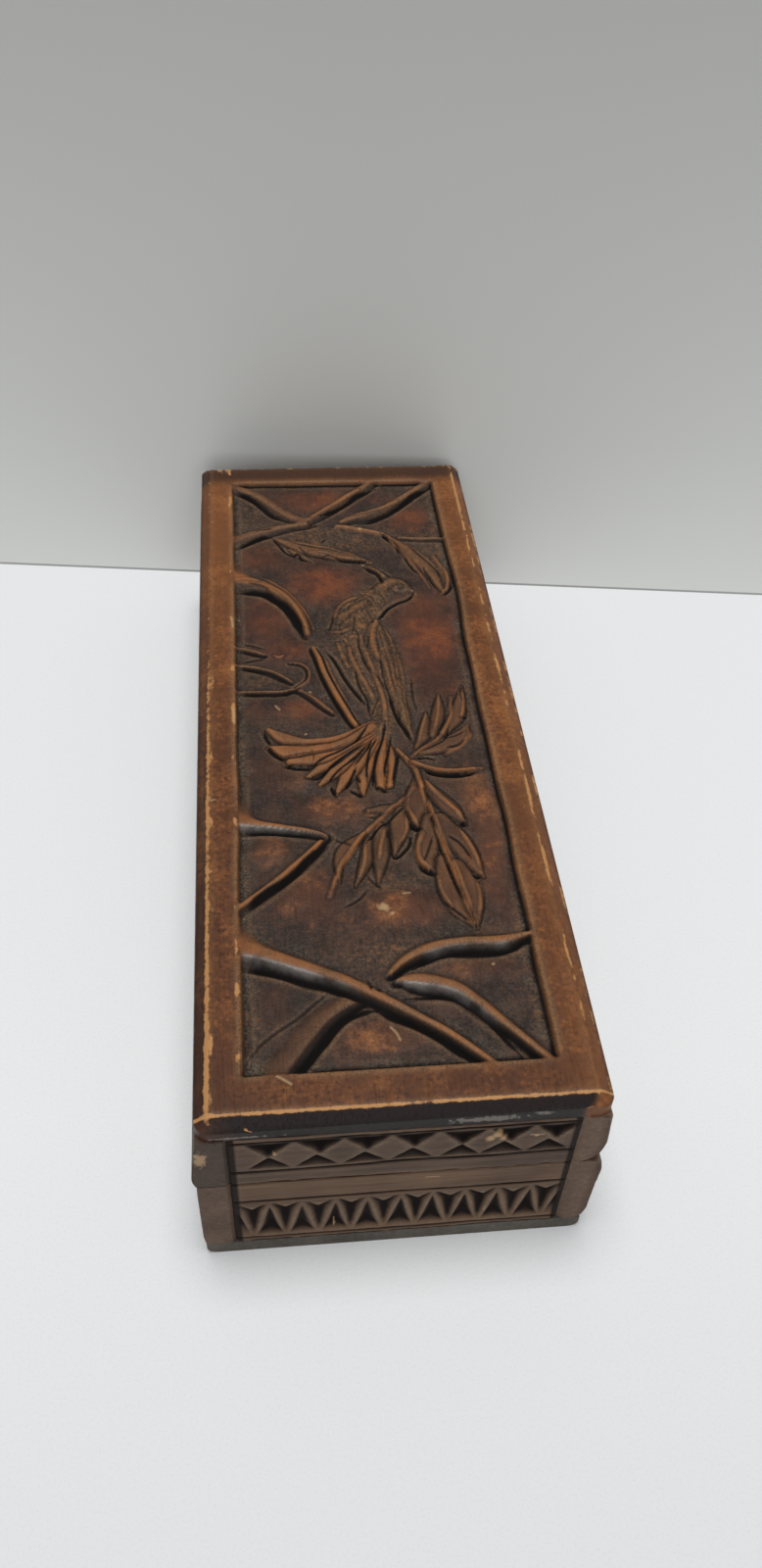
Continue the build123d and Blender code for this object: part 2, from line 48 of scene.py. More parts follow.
photoCamera = {
    "place": (-28.685, -289.5, 324.9),  # mm
    "focal": 1274.7,  # in pixels of a 778 x 1600 image
    "imageHeight": 1600,
    "sensor": 36.0,
    "clip": (0.01, 20),
    "right": (0.99513, -0.09240, 0.03427),
    "down": (-0.04193, -0.71165, -0.70128),
    "ahead": (0.08918, 0.69643, -0.71206),
}


def setCamera(camera):
    lens = bpy.data.cameras.new("photoCamera")
    lens.sensor_width = camera["sensor"]
    lens.lens = camera["focal"] * camera["sensor"] / camera["imageHeight"]
    lens.clip_start, lens.clip_end = camera["clip"]
    shot = bpy.data.objects.new("photoCamera", lens)
    bpy.context.scene.collection.objects.link(shot)
    turn = Matrix([
        camera["right"], [-v for v in camera["down"]], [-v for v in camera["ahead"]],
    ]).transposed()
    shot.matrix_world = Matrix.Translation(Vector(camera["place"]) * mm) @ turn.to_4x4()
    bpy.context.scene.camera = shot


setCamera(photoCamera)
print("camera set")


# Relief tools. A relief is a grid of heights in mm over a flat face, with paint that says
# where the knife and the hands left dirt or wear, and where shade and glints are painted.

unreached = 1e3  # the distance given to places out of a line's reach, in mm
pathStep = 0.4  # between the points of a smooth line, in mm
fineStep = 0.3  # the same for lines and ridges cut into a form
# Brightness of a branch's painted glint, a painted highlight, down its slope: places from 0 to 1, and their
# values
glintPaintProfile = ((0.04, 0.15, 0.27, 0.6, 0.85), (0, 1, 0.35, 0.14, 0))


def unit(values):
    return np.clip(values, 0, 1)


def eased(values):
    return values**2 * (3 - 2 * values)


def bell(values, middle, width):
    return np.exp(-(((values - middle) / width) ** 2))


def newRelief(width, length, cell):
    x = np.linspace(-width / 2, width / 2, int(width / cell) + 1)
    y = np.linspace(-length / 2, length / 2, int(length / cell) + 1)
    shape = (len(y), len(x))
    paint = {name: np.zeros(shape) for name in ("crease", "rubbed", "rim", "shine", "plume")}
    return {"x": x, "y": y, "h": np.zeros(shape), "cell": cell, "paint": paint}


def softNoise(x, y, size, seed):
    # Smooth random values from -1 to 1, size is the width and length of a blotch in mm
    count = 64
    lattice = np.random.default_rng(seed).uniform(-1, 1, (count, count))
    across, along = x / size[0] + 10 * count, y / size[1] + 10 * count
    column, row = np.floor(across).astype(int), np.floor(along).astype(int)
    across, along = eased(across - column), eased(along - row)
    row, column, after, beside = (i % count for i in (row, column, row + 1, column + 1))
    near = lattice[row, column] * (1 - across) + lattice[row, beside] * across
    far = lattice[after, column] * (1 - across) + lattice[after, beside] * across
    return near * (1 - along) + far * along


def blurred(values, radius):
    # Gaussian blur, radius in cells
    reach = int(3 * radius) + 1
    weights = np.exp(-0.5 * (np.arange(-reach, reach + 1) / radius) ** 2)
    weights /= weights.sum()
    for axis in (0, 1):
        ends = [(reach, reach) if axis == a else (0, 0) for a in (0, 1)]
        padded = np.pad(values, ends, mode="edge")
        size = values.shape[axis]
        parts = (padded.take(range(i, i + size), axis) for i in range(len(weights)))
        values = sum(weight * part for weight, part in zip(weights, parts))
    return values


def smoothPath(points, step=pathStep):
    # A smooth line through given points, in even steps
    p = np.array(points, float)
    p = np.vstack([2 * p[0] - p[1], p, 2 * p[-1] - p[-2]])
    line = []
    for before, start, end, after in zip(p[:-3], p[1:-2], p[2:-1], p[3:]):
        count = max(2, int(np.hypot(*(end - start)[:2]) / step))
        t = (np.arange(count) / count)[:, None]
        line.append(0.5 * (
            2 * start + (end - before) * t + (2 * before - 5 * start + 4 * end - after) * t**2
            + (3 * start - before - 3 * end + after) * t**3
        ))
    return np.vstack([*line, p[-2:-1]])


def aroundPath(relief, path, reach):
    # The part of the relief near a path: its slice, the distance to the path, the signed
    # distance across it (left is above 0), and which path point is nearest
    x, y = relief["x"], relief["y"]
    low, high = path[:, :2].min(0) - reach, path[:, :2].max(0) + reach
    columns = slice(*np.searchsorted(x, (low[0], high[0])))
    rows = slice(*np.searchsorted(y, (low[1], high[1])))
    px, py = x[columns], y[rows]
    best = np.full((len(py), len(px)), np.inf)
    index = np.zeros(best.shape, int)
    for i, spot in enumerate(path):
        a, b = np.searchsorted(px, (spot[0] - reach, spot[0] + reach))
        c, d = np.searchsorted(py, (spot[1] - reach, spot[1] + reach))
        gap = (px[None, a:b] - spot[0]) ** 2 + (py[c:d, None] - spot[1]) ** 2
        closer = gap < best[c:d, a:b]
        best[c:d, a:b][closer] = gap[closer]
        index[c:d, a:b][closer] = i
    run = np.gradient(path[:, :2], axis=0)
    run /= np.linalg.norm(run, axis=1)[:, None] + 1e-9
    offX, offY = px[None, :] - path[index, 0], py[:, None] - path[index, 1]
    runX, runY = run[index, 0], run[index, 1]
    across = runX * offY - runY * offX
    along = np.abs(runX * offX + runY * offY)
    gap = np.hypot(across, np.maximum(along - 0.25, 0))
    gap[best > reach**2] = unreached
    return (rows, columns), gap, across, index


def endFade(index, path, gain, least):
    # Falls from 1 towards both ends of a path
    share = index / (len(path) - 1)
    return np.clip(gain * np.minimum(share, 1 - share), least, 1)


def paintOver(relief, name, part, values):
    old = relief["paint"][name][part]
    relief["paint"][name][part] = np.maximum(old, unit(values))


def raiseForm(relief, stations, shape):
    # A form along (x, y, half width) or (x, y, left half, right half) stations. Along the
    # sides named in cuts its flat top ends in a slope down to a deep cut with a rubbed rim
    # beyond, and on its other sides it runs out into the ground.
    path = smoothPath([s if len(s) == 4 else (*s, s[2]) for s in stations])
    spread, flat, floor, top = (shape[key] for key in ("spread", "flat", "floor", "top"))
    part, gap, across, index = aroundPath(relief, path, path[:, 2:].max() + 3.5 * spread)
    onLeft = across > 0
    half = np.maximum(np.where(onLeft, path[index, 2], path[index, 3]), 0.15)
    cut = np.where(onLeft, "left" in shape["cuts"], "right" in shape["cuts"])
    inside, cutNear = gap < half, cut & (gap < unreached)
    h = relief["h"][part]
    share = unit(gap / half)
    slope = unit((share - flat) / (1 - flat))
    runOut = 1 - eased(share)
    cutTop = top - shape["camber"] * share**2
    body = np.where(cut, cutTop + (floor - cutTop) * slope, np.maximum(h, h + (top - h) * runOut))
    beyond = np.clip(gap - half, 0, None)
    rim = bell(beyond, 1.7 * spread, 0.55 * spread)
    cutGround = h + np.minimum(floor - h, 0) * np.exp(-((beyond / spread) ** 1.3)) + shape["rim"] * rim
    relief["h"][part] = np.where(inside, body, np.where(cutNear, cutGround, h))

    for values in relief["paint"].values():
        values[part] *= np.where(inside, unit(1.2 * share - 0.2), 1)
    # Painted shade: the slope into a cut and the cut are painted dark, and so is the core of forms that have
    # shade set
    dark = np.where(inside, shape["dark"] * unit(4 * slope) + unit(slope - 0.4),
                    bell(beyond, 0, 0.6 * spread))
    rub = shape["rub"] * np.where(cut, unit(1.15 - 6 * slope * (1 - flat)), runOut)
    # Painted glint: a painted highlight down the slope of some branches
    shine = shape["shine"] * np.interp(slope, *glintPaintProfile)
    shine *= np.interp(path[index, 0], shape["paintedGlintSpan"], (0, 1, 1, 0))
    core = unit(3 - 3 * share)
    for name, where, values in (
        ("crease", cutNear, dark), ("crease", inside, shape["shade"] * core),
        ("rubbed", inside, rub), ("rim", cutNear & ~inside, shape["rimPaint"] * rim),
        ("plume", inside, shape["plume"] * core), ("shine", cut & inside, shine),
    ):
        paintOver(relief, name, part, np.where(where, values, 0))


def addRidge(relief, height, width, rub, points):
    # A narrow rubbed ridge along a line, fading out at its ends, with dirt and painted shade in a dark line
    # beside it
    path = smoothPath(points, fineStep)
    part, gap, _, index = aroundPath(relief, path, 2.6 * width)
    fade = endFade(index, path, 8, 0.35)
    bump = bell(gap, 0, width * fade)
    relief["h"][part] += height * fade * bump
    relief["paint"]["crease"][part] *= 1 - 0.9 * bump
    paintOver(relief, "rubbed", part, rub * bell(gap, 0, 0.8 * width * fade))
    paintOver(relief, "crease", part, 0.55 * bell(gap, 1.7 * width, 0.5 * width))


def cutLine(relief, depth, width, points):
    # A V groove along a line, fading out at its ends, painted dark inside as dirt and painted shade
    path = smoothPath(points, fineStep)
    part, gap, _, index = aroundPath(relief, path, 2 * width + 0.6)
    fade = endFade(index, path, 7, 0.25)
    share = gap / (width * fade)
    relief["h"][part] -= depth * fade * unit(1 - share)
    paintOver(relief, "crease", part, min(1, depth + 0.3) * unit(2.4 - 2.4 * share))
    paintOver(relief, "rim", part, min(0.8, 0.7 * depth + 0.1) * bell(gap, width + 0.35, 0.3) * fade)


def chipOut(relief, outline, low, depth):
    # A pyramid-shaped chip: each facet runs from one side of the outline to its low point
    x, y = relief["x"], relief["y"]
    for a, b in zip(outline, outline[1:] + outline[:1]):
        corners = np.array([low, a, b])
        columns = slice(*np.searchsorted(x, (corners[:, 0].min(), corners[:, 0].max())))
        rows = slice(*np.searchsorted(y, (corners[:, 1].min(), corners[:, 1].max())))
        px, py = x[columns][None, :] - low[0], y[rows][:, None] - low[1]
        (ax, ay), (bx, by) = corners[1:] - corners[0]
        whole = ax * by - bx * ay
        toA, toB = (px * by - bx * py) / whole, (ax * py - px * ay) / whole
        share = 1 - toA - toB
        inside = (toA >= -0.001) & (toB >= -0.001) & (share > 0)
        h = relief["h"][rows, columns]
        relief["h"][rows, columns] = np.where(inside, np.minimum(h, -depth * share), h)


def reliefMasks(relief):
    # Where dirt gathers and shade is painted, where handling wears, and where glints are painted, from 0 to
    # 1
    h, cell, paint = relief["h"], relief["cell"], relief["paint"]
    fine, middle, wide = (blurred(h, r / cell) for r in (0.45, 1.1, 3.2))
    return {
        "crease": unit(np.maximum((middle - h) / 0.55 - 0.1, paint["crease"])),
        "hollow": unit((wide - h) / 0.8),
        "crest": unit(np.maximum((fine - middle) / 0.3, paint["rim"])),
        "rubbed": paint["rubbed"],
        "shine": paint["shine"],
        "plume": paint["plume"],
        "depth": unit(-h / 2.2),
    }


# Meshes from reliefs

def gridOf(rows, columns):
    return np.arange(rows * columns).reshape(rows, columns)


def rimOf(rows, columns):
    index = gridOf(rows, columns)
    return np.concatenate([index[0], index[1:, -1], index[-1, -2::-1], index[-2:0:-1, 0]])


def reliefMesh(name, front, loops, masks):
    # front is rows x columns x 3 points in mm. The loops carry its rim to the back, and
    # the last one is closed with one face. Masks hold a value for every vertex.
    rows, columns = front.shape[:2]
    index, ring, start = gridOf(rows, columns), rimOf(rows, columns), rows * columns
    points = np.vstack([front.reshape(-1, 3), *loops])
    quads = [np.stack(
        [index[:-1, :-1], index[:-1, 1:], index[1:, 1:], index[1:, :-1]], axis=-1,
    ).reshape(-1, 4)]
    for _ in loops:
        after = start + np.arange(len(ring))
        quads.append(np.stack([ring, after, np.roll(after, -1), np.roll(ring, -1)], axis=-1))
        ring, start = after, start + len(ring)
    quads = np.vstack(quads)
    a, b, c, d = (points[quads[:, i]] for i in range(4))
    volume = np.einsum("ij,ij->", np.cross(c - a, d - b), a + b + c + d)
    corners, back = quads, ring[::-1]
    if volume < 0:
        corners, back = quads[:, ::-1], ring
    mesh = bpy.data.meshes.new(name)
    mesh.vertices.add(len(points))
    mesh.vertices.foreach_set("co", (points * mm).ravel())
    mesh.loops.add(corners.size + len(back))
    mesh.loops.foreach_set("vertex_index", np.concatenate([corners.ravel(), back]))
    mesh.polygons.add(len(corners) + 1)
    mesh.polygons.foreach_set("loop_start", np.arange(len(corners) + 1) * 4)
    mesh.update(calc_edges=True)
    mesh.validate()
    for mask, values in masks.items():
        layer = mesh.attributes.new(mask, "FLOAT", "POINT")
        layer.data.foreach_set("value", values.astype(np.float32))
    mesh.polygons.foreach_set("use_smooth", np.ones(len(mesh.polygons), bool))
    mesh.set_sharp_from_angle(angle=0.7)
    piece = bpy.data.objects.new(name, mesh)
    bpy.context.scene.collection.objects.link(piece)
    return piece


def spreadMasks(masks, front, loops, kept=()):
    # Carries the grid's masks on to the loops, where those in kept go on as at the rim and
    # the others are 0
    rim = rimOf(*front.shape[:2])
    out = {}
    for name, grid in masks.items():
        flat = grid.ravel()
        rest = flat[rim] if name in kept else np.zeros(len(rim))
        out[name] = np.concatenate([flat, *[rest] * len(loops)])
    return out


def ringsTowards(front, count, back):
    # Loops that carry the rim of a face to its back, where back gives the last loop
    rim = front.reshape(-1, 3)[rimOf(*front.shape[:2])]
    last = back(rim)
    return [rim + (last - rim) * i / count for i in range(1, count + 1)]


# Lid board: bevelled, with a sunk field carved with a bird on a branch

lidBoard = {
    "cell": 0.34,
    "bevelWidth": 3.3,
    "bevelDrop": 2.4,
    "nearBevelDrop": (3.0, 2.0),  # at the left and at the right of the near edge
    "cornerRadius": 3.5,
    "fieldHalfWidth": 38.1,
    "fieldHalfLength": 129.1,
    "fieldBulge": (60, 22),  # where the right wall bows out, and over what length
    "wallWidth": 0.6,
    "ground": -1.5,
    "groundWave": 0.3,
    "polishRise": 0.5,
    "wallFloor": -2.1,
    "wallSpread": 1.0,
    "deepest": -2.8,
    "edgeRings": 8,
}
branchShape = {
    "cuts": "right",  # the sides that end in a deep cut
    "top": -0.12, "floor": -2.3,  # heights of its top and of the cut, in mm under the border
    "flat": 0.34,  # the share of its half width before the slope
    "camber": 0.1,  # how far the top falls towards its sides
    "spread": 0.8, "rim": 0.22,  # width of the cut beyond it, and height of the rim after that
    # dark and shade give painted shade, on the slope into the cut and in the form's core; the glint is a
    # painted highlight
    "dark": 0.8, "rub": 0.5, "rimPaint": 0.5, "shine": 0, "shade": 0, "plume": 0,
    "paintedGlintSpan": (-40, -36, -20, -6),  # where along x its painted glint starts, is full and ends
}
farShape = {**branchShape, "top": -0.5, "floor": -2.0, "dark": 0.3, "rub": 0.3, "plume": 0.4}
twigShape = {**branchShape, "top": -0.7, "floor": -2.1, "spread": 0.5, "rub": 0.3, "flat": 0.35,
             "rimPaint": 0.8}
bodyShape = {**branchShape, "cuts": "", "top": -0.3, "rub": 0.1, "plume": 1.0}
featherShape = {**branchShape, "cuts": "left right", "top": -0.2, "floor": -1.5, "spread": 0.3,
                "flat": 0.72, "camber": 0.35, "rub": 0.75, "rim": 0.1, "dark": 0.4, "rimPaint": 0.3}
leafShape = {**featherShape, "top": -0.75, "floor": -1.9, "spread": 0.4, "flat": 0.75,
             "camber": 0.3, "rub": 0.2, "shade": 0.2}
ribShape = {**leafShape, "top": -0.4, "floor": -1.4, "spread": 0.3, "rub": 0.75, "flat": 0.5,
            "shade": 0}

# Forms as (changes to the shape, stations). Stations are (x, y, left half, right half) or
# (x, y, half) in mm from the field's middle, y towards the far end.
farBranches = [
    ({}, [
        (-40, 130, 3, 3.2), (-31, 123.6, 3, 3.2), (-26, 118.5, 3, 3.2), (-21.5, 112.5, 3, 3.2),
        (-17, 107.5, 3, 3), (-10, 103.5, 2.4, 2.4)]),
    ({"rub": 0.25}, [
        (-14, 103.5, 2, 2.2), (-10, 106, 2, 2.8), (-5, 110.5, 2, 3.2), (0, 115.8, 2, 3.6),
        (5, 120.8, 2, 3.6), (11, 126.6, 2, 3.4), (15, 131, 2, 3)]),
    ({"rub": 0.25}, [
        (2, 103.5, 2, 2), (6, 106.3, 2.2, 3.4), (12, 109, 2.2, 3.6), (18, 112.2, 2.2, 3.4),
        (23, 116.4, 2.2, 3.2), (29, 122, 2, 3), (38, 131, 2, 3)]),
    ({}, [
        (-41, 92, 3, 5), (-33, 96.4, 2.6, 4.6), (-27, 99, 2.4, 4), (-20, 101, 2.2, 3),
        (-12, 102.4, 2, 2)]),
    ({"cuts": "", "top": -0.3, "rub": 0.6}, [
        (0, 100.5, 1.5), (4, 99.5, 1.8), (8, 98, 2), (12, 96.5, 1.8), (16, 95, 1.4)]),
    ({"top": -0.8, "floor": -1.6, "rub": 0.1}, [(22, 92.5, 1), (30, 91.4, 1.1), (40, 91, 1.2)]),
]
nearBranches = [
    ({"cuts": "left", "top": -0.8, "rub": 0.15, "shade": 0.1}, [
        (-7, -107, 3, 2.2), (-12, -109, 3.6, 3), (-17.5, -112.5, 4.2, 3.6), (-22, -117, 5, 4.2),
        (-27, -123.5, 5.4, 4.6), (-33, -132, 6, 5)]),
    ({"shine": 1.0, "paintedGlintSpan": (0, 3, 20, 28)}, [
        (1.6, -103.4, 0.5, 1.4), (3.6, -103, 1.2, 3.6), (7, -102.9, 1.8, 4.8), (12, -104.2, 2, 4.6),
        (17, -106.5, 2, 4), (21, -110.5, 2, 3.5), (25, -115.5, 2, 2.9), (30, -121.5, 1.8, 2.5),
        (38, -131, 1.8, 2.2)]),
    ({"shine": 0.7, "paintedGlintSpan": (7, 11, 30, 35)}, [
        (0, -101, 1.2, 1.4), (3, -97.8, 1.5, 2.6), (7, -95, 1.6, 3.6), (11, -93.3, 1.6, 3.8),
        (16, -92.2, 1.6, 3.5), (22, -91.8, 1.6, 3.8), (30, -92, 1.6, 3.8), (36, -91.2, 1.4, 2.2),
        (41, -90.2, 1.2, 1.2)]),
    ({"rub": 0.55, "shine": 1.0}, [
        (-42, -88.6, 12, 8.5), (-38, -89.8, 7, 7.6), (-34, -91.2, 3.4, 6.8), (-30, -93, 2.2, 6),
        (-20, -98, 1.8, 4.6), (-12, -102, 1.7, 4), (-6, -106, 1.6, 4), (0, -110.2, 1.5, 3.4),
        (6, -114.6, 1.3, 3), (12, -119, 1.2, 3), (17, -123.6, 1.1, 2.8), (24, -130.6, 1, 2.5)]),
]
leftFork = [
    ({"cuts": "left", "rub": 0.9}, [
        (-14.3, -53.5, 1.5, 0.8), (-17, -56.6, 2.2, 1), (-20.5, -60.5, 2.4, 1.1),
        (-24.5, -64.7, 2.5, 1.2), (-28.5, -68.6, 2.4, 1.3), (-33, -72.6, 2.2, 1.3),
        (-40, -78.4, 2, 1.3)]),
    ({"rub": 0.6, "shine": 1.0}, [
        (-42, -44, 14, 8), (-38.5, -44.8, 9, 6.4), (-35.4, -46, 4, 4.8), (-33, -46.8, 2, 3.8),
        (-30, -47.6, 1.4, 2.9), (-25, -48.9, 1.3, 2.2), (-20, -50.1, 1.2, 1.9), (-16, -51.6, 1, 1.6),
        (-13.8, -53, 0.8, 1)]),
]
thinTwigs = [
    ({"top": -0.7}, [(-39, 32.2, 1, 1.3), (-33, 30, 1, 1.5), (-29.3, 28.3, 1, 1.3)]),
    ({}, [(-40, 23.2, 1.0, 1.4), (-33, 22, 1.0, 1.4), (-28, 20.4, 1.0, 1.5),
          (-24, 17.7, 0.9, 1.4), (-20.8, 14.3, 0.8, 1.0)]),
    ({"rub": 0.7}, [(-20.6, 23.6, 0.5), (-17.4, 22.9, 0.7), (-15.3, 20.6, 0.75), (-14.8, 17.5, 0.75),
                    (-15.6, 14.2, 0.8), (-18.6, 11.6, 0.7)]),
    ({}, [(-40, 9.9, 0.8, 1.2), (-30, 9.7, 0.8, 1.2), (-24, 9.6, 0.8, 1.2), (-19.5, 10.9, 0.8, 1)]),
    ({"top": -0.8, "rub": 0.3}, [
        (-18, 9.8, 1.2, 1.3), (-14.5, 6.6, 1.4, 1.7), (-11.5, 2.8, 1.4, 1.7), (-8.6, -0.8, 1, 1.2)]),
]
perch = [
    ({"rub": 0.65, "flat": 0.3, "dark": 0.3, "top": -0.25}, [
        (-42, 72, 14, 10), (-38, 71, 8, 9), (-34, 69.3, 3.6, 7.6), (-29, 66.8, 2.2, 5.8),
        (-25, 63.6, 2.2, 5), (-21, 59.3, 2.2, 4.4), (-18, 54.3, 2, 3.9), (-16, 49, 1.8, 3.4),
        (-14.6, 43.5, 1.6, 2.8), (-14.2, 38.5, 1.3, 2)]),
    ({"cuts": "left right", "rub": 1.0, "spread": 0.5, "flat": 0.55}, [
        (-12.6, 30, 0.9, 1.2), (-11.2, 25, 1.2, 1.5), (-9.9, 18, 1.3, 1.5), (-8, 11, 1.3, 1.6),
        (-6, 4.5, 1.3, 1.6), (-4.5, 0, 1.3, 1.5), (-2.4, -6, 1.2, 1.4), (0.5, -11, 0.9, 1)]),
]
bird = [
    ({}, [  # its body
        (12, 59, 4.6), (8.5, 56, 7), (4.5, 50, 8.7), (3, 42, 9.8), (3.2, 33, 10.4),
        (4.2, 25, 10.2), (5.8, 17, 9.2), (7.2, 9, 7.6), (8.2, 2, 5.6), (7.5, -6, 4.2), (6, -12, 4)]),
    ({"top": -0.1}, [  # wing
        (9, 43, 1.5), (8.5, 37, 5.6), (9.2, 29, 6.9), (10.3, 20, 6.3), (11.8, 11, 4.8),
        (13, 1, 2.9), (14.6, -12, 0.9)]),
    ({"top": -0.4}, [(16, 66, 2.4), (12.5, 70.5, 2.0), (8.8, 75, 0.7)]),  # crest
    ({"top": -0.05}, [  # head and beak
        (11, 61, 4.4), (15, 63.6, 4.9), (18.5, 63.3, 4.4), (21.5, 60.8, 2.3), (24.4, 58.3, 0.4)]),
]
tailFeathers = [
    [(3, -8, 2.2), (-7, -13.4, 1.8), (-17, -14.6, 1.9), (-24, -12.4, 2.6), (-28.4, -8.6, 1.0)],
    [(5.4, -13, 1.6), (7, -19, 1.9), (7.2, -26, 2.2), (6, -33.6, 1.6)],
    [(6, -9, 2.0), (5.2, -18, 1.8), (4.2, -27, 2.1), (3.6, -34.8, 1.5)],
    [(5, -12, 1.4), (2.2, -20, 1.9), (-0.8, -28, 2.7), (-2, -37.4, 0.7)],
    [(4.5, -13, 1.3), (0, -21, 1.8), (-5, -28, 2.7), (-9.7, -36.6, 0.6)],
    [(4, -13, 1.3), (-3, -20.4, 1.7), (-8.6, -26.6, 2.2), (-14, -32.6, 0.7)],
    [(3.5, -12, 1.3), (-5, -19, 1.6), (-11.4, -24, 2.1), (-17.4, -29.2, 0.8)],
    [(3, -11, 1.5), (-7, -18.4, 1.5), (-14, -21.6, 2.7), (-22.6, -22.6, 1.2)],
    [(3, -9, 2.0), (-7, -15.8, 1.7), (-17, -17.8, 2.4), (-24, -18, 3.0), (-28.6, -16.4, 0.8)],
]
stalks = [
    [(10, -19, 0.9), (12.4, -23.5, 1.2), (14.5, -28, 1.3), (15.6, -35, 1.2)],
    [(14, -25, 1.1), (19, -27.8, 0.9), (25, -29.2, 0.8), (33, -28.6, 0.4)],
]
leafLobes = [
    # The leaf on the left
    [(9, -42, 0.8), (3.5, -43.4, 2.0), (-1.6, -43.6, 0.5)],
    [(8.5, -44, 1.6), (7.6, -50, 3.2), (5, -60.6, 0.5)],
    [(2, -50, 1.6), (1.2, -60, 2.6), (-0.6, -71.4, 0.4)],
    [(-2, -55, 1.2), (-3.4, -63, 1.9), (-6.7, -71.4, 0.4)],
    [(-3, -53, 1.2), (-8.4, -57.5, 2.2), (-10.8, -63, 1.6), (-11, -69.6, 0.4)],
    # The long leaf
    [(15, -31, 1.4), (13.6, -38, 3.2), (13, -46, 3.0), (13.2, -52, 0.5)],
    [(16.5, -48, 2.4), (14.6, -57, 3.4), (14, -64, 2.8), (15.2, -68.2, 0.5)],
    [(18.5, -64, 2.6), (18.2, -73, 3.0), (20, -81, 2.4), (24, -88, 0.3)],
    [(16.5, -33, 1.2), (20.4, -40, 2.7), (23.6, -45, 2.6), (26.4, -50.4, 0.5)],
    [(19.5, -48, 2.4), (23.4, -56, 3.6), (26, -63, 3.0), (28.6, -70.4, 0.5)],
    [(22, -66, 2.4), (24.2, -73, 3.0), (25.2, -80, 2.2), (24.6, -88, 0.3)],
    # The leaf on the right
    [(17, -20.8, 0.8), (24, -18, 3.0), (29.5, -14.6, 3.0), (33, -9, 0.6)],
    [(25, -12, 1.4), (30, -5, 2.6), (32, 2, 1.9), (33.6, 9.4, 0.4)],
    [(16, -18, 0.8), (19.5, -11, 2.4), (20.6, -2.5, 0.4)],
    [(21.5, -13, 1.2), (24.4, -3, 2.2), (25.6, 6, 0.4)],
]
# Soft low leaves over the head, drawn mostly by the lines cut in them
softLeaves = [
    ({"cuts": "right", "top": -0.7, "floor": -1.9, "rub": 0.3}, [
        (-22.5, 93, 0.9), (-14, 88.4, 3.6), (-6, 85.2, 4.2), (2, 81.8, 3.4), (10, 77.6, 0.9)]),
    ({"cuts": "right", "top": -0.8, "floor": -1.9, "rub": 0.2}, [
        (-18, 86.5, 0.8), (-15, 83.4, 1.6), (-11, 79.3, 0.5)]),
    ({"cuts": "right", "top": -0.6, "floor": -1.9, "rub": 0.3}, [
        (17.5, 94, 0.6, 1), (23, 86.5, 3, 2.4), (27.6, 78, 3.4, 2.8), (31, 70.5, 3.2, 2.6),
        (34, 59, 0.8)]),
    ({"cuts": "", "top": -0.5, "rub": 0.5}, [(33, 80, 1), (36, 70, 1.8), (36, 60.5, 0.8)]),
]
# Ground polished by hands, as (x, y, half width, half length, how strongly)
polishedGround = [
    (26, 32, 10, 25, 1.0), (-28, 45, 8, 12, 0.9), (-21, 31, 7, 6, 0.7), (-17, 1, 9, 5, 0.55),
    (-9, 66, 12, 12, 0.9), (6, -80, 13, 6, 0.8), (-19, -74, 8, 9, 0.9), (-30, -58, 4.5, 4, 0.9),
    (-26, -24, 8, 12, 0.5), (-13, -43, 9, 5, 0.8), (-32, 0, 3, 5, 0.5), (-3, -121, 12, 5, 0.6),
    (27, 104, 8, 8, 0.7), (-8, 118, 14, 7, 0.7), (18, 117, 6, 3, 0.4), (24, -101, 9, 3, 0.5),
    (-31, -108, 5, 8, 0.4), (32, -60, 5, 26, 0.9), (-28, 82, 8, 8, 0.7),
]
# Ground that has kept its dust, in the same form
dustyGround = [
    (-6, 94, 26, 9, 0.7), (-32, 108, 6, 11, 0.9), (31, 84, 7, 16, 0.5), (-30, 15, 7, 4, 0.8),
    (0, -95, 13, 4.5, 0.7), (-36, -112, 2.4, 14, 1.0), (-37, -66, 1.4, 9, 0.8),
    (-37, -20, 1.4, 26, 0.7), (36.5, -114, 1.6, 9, 0.9), (36, 108, 1.6, 13, 0.9),
    (3, -71, 9, 3.5, 0.5), (-27, -10, 6, 7, 0.5), (-34, -90, 4, 7, 0.4), (0, 33, 11, 20, 0.4),
]
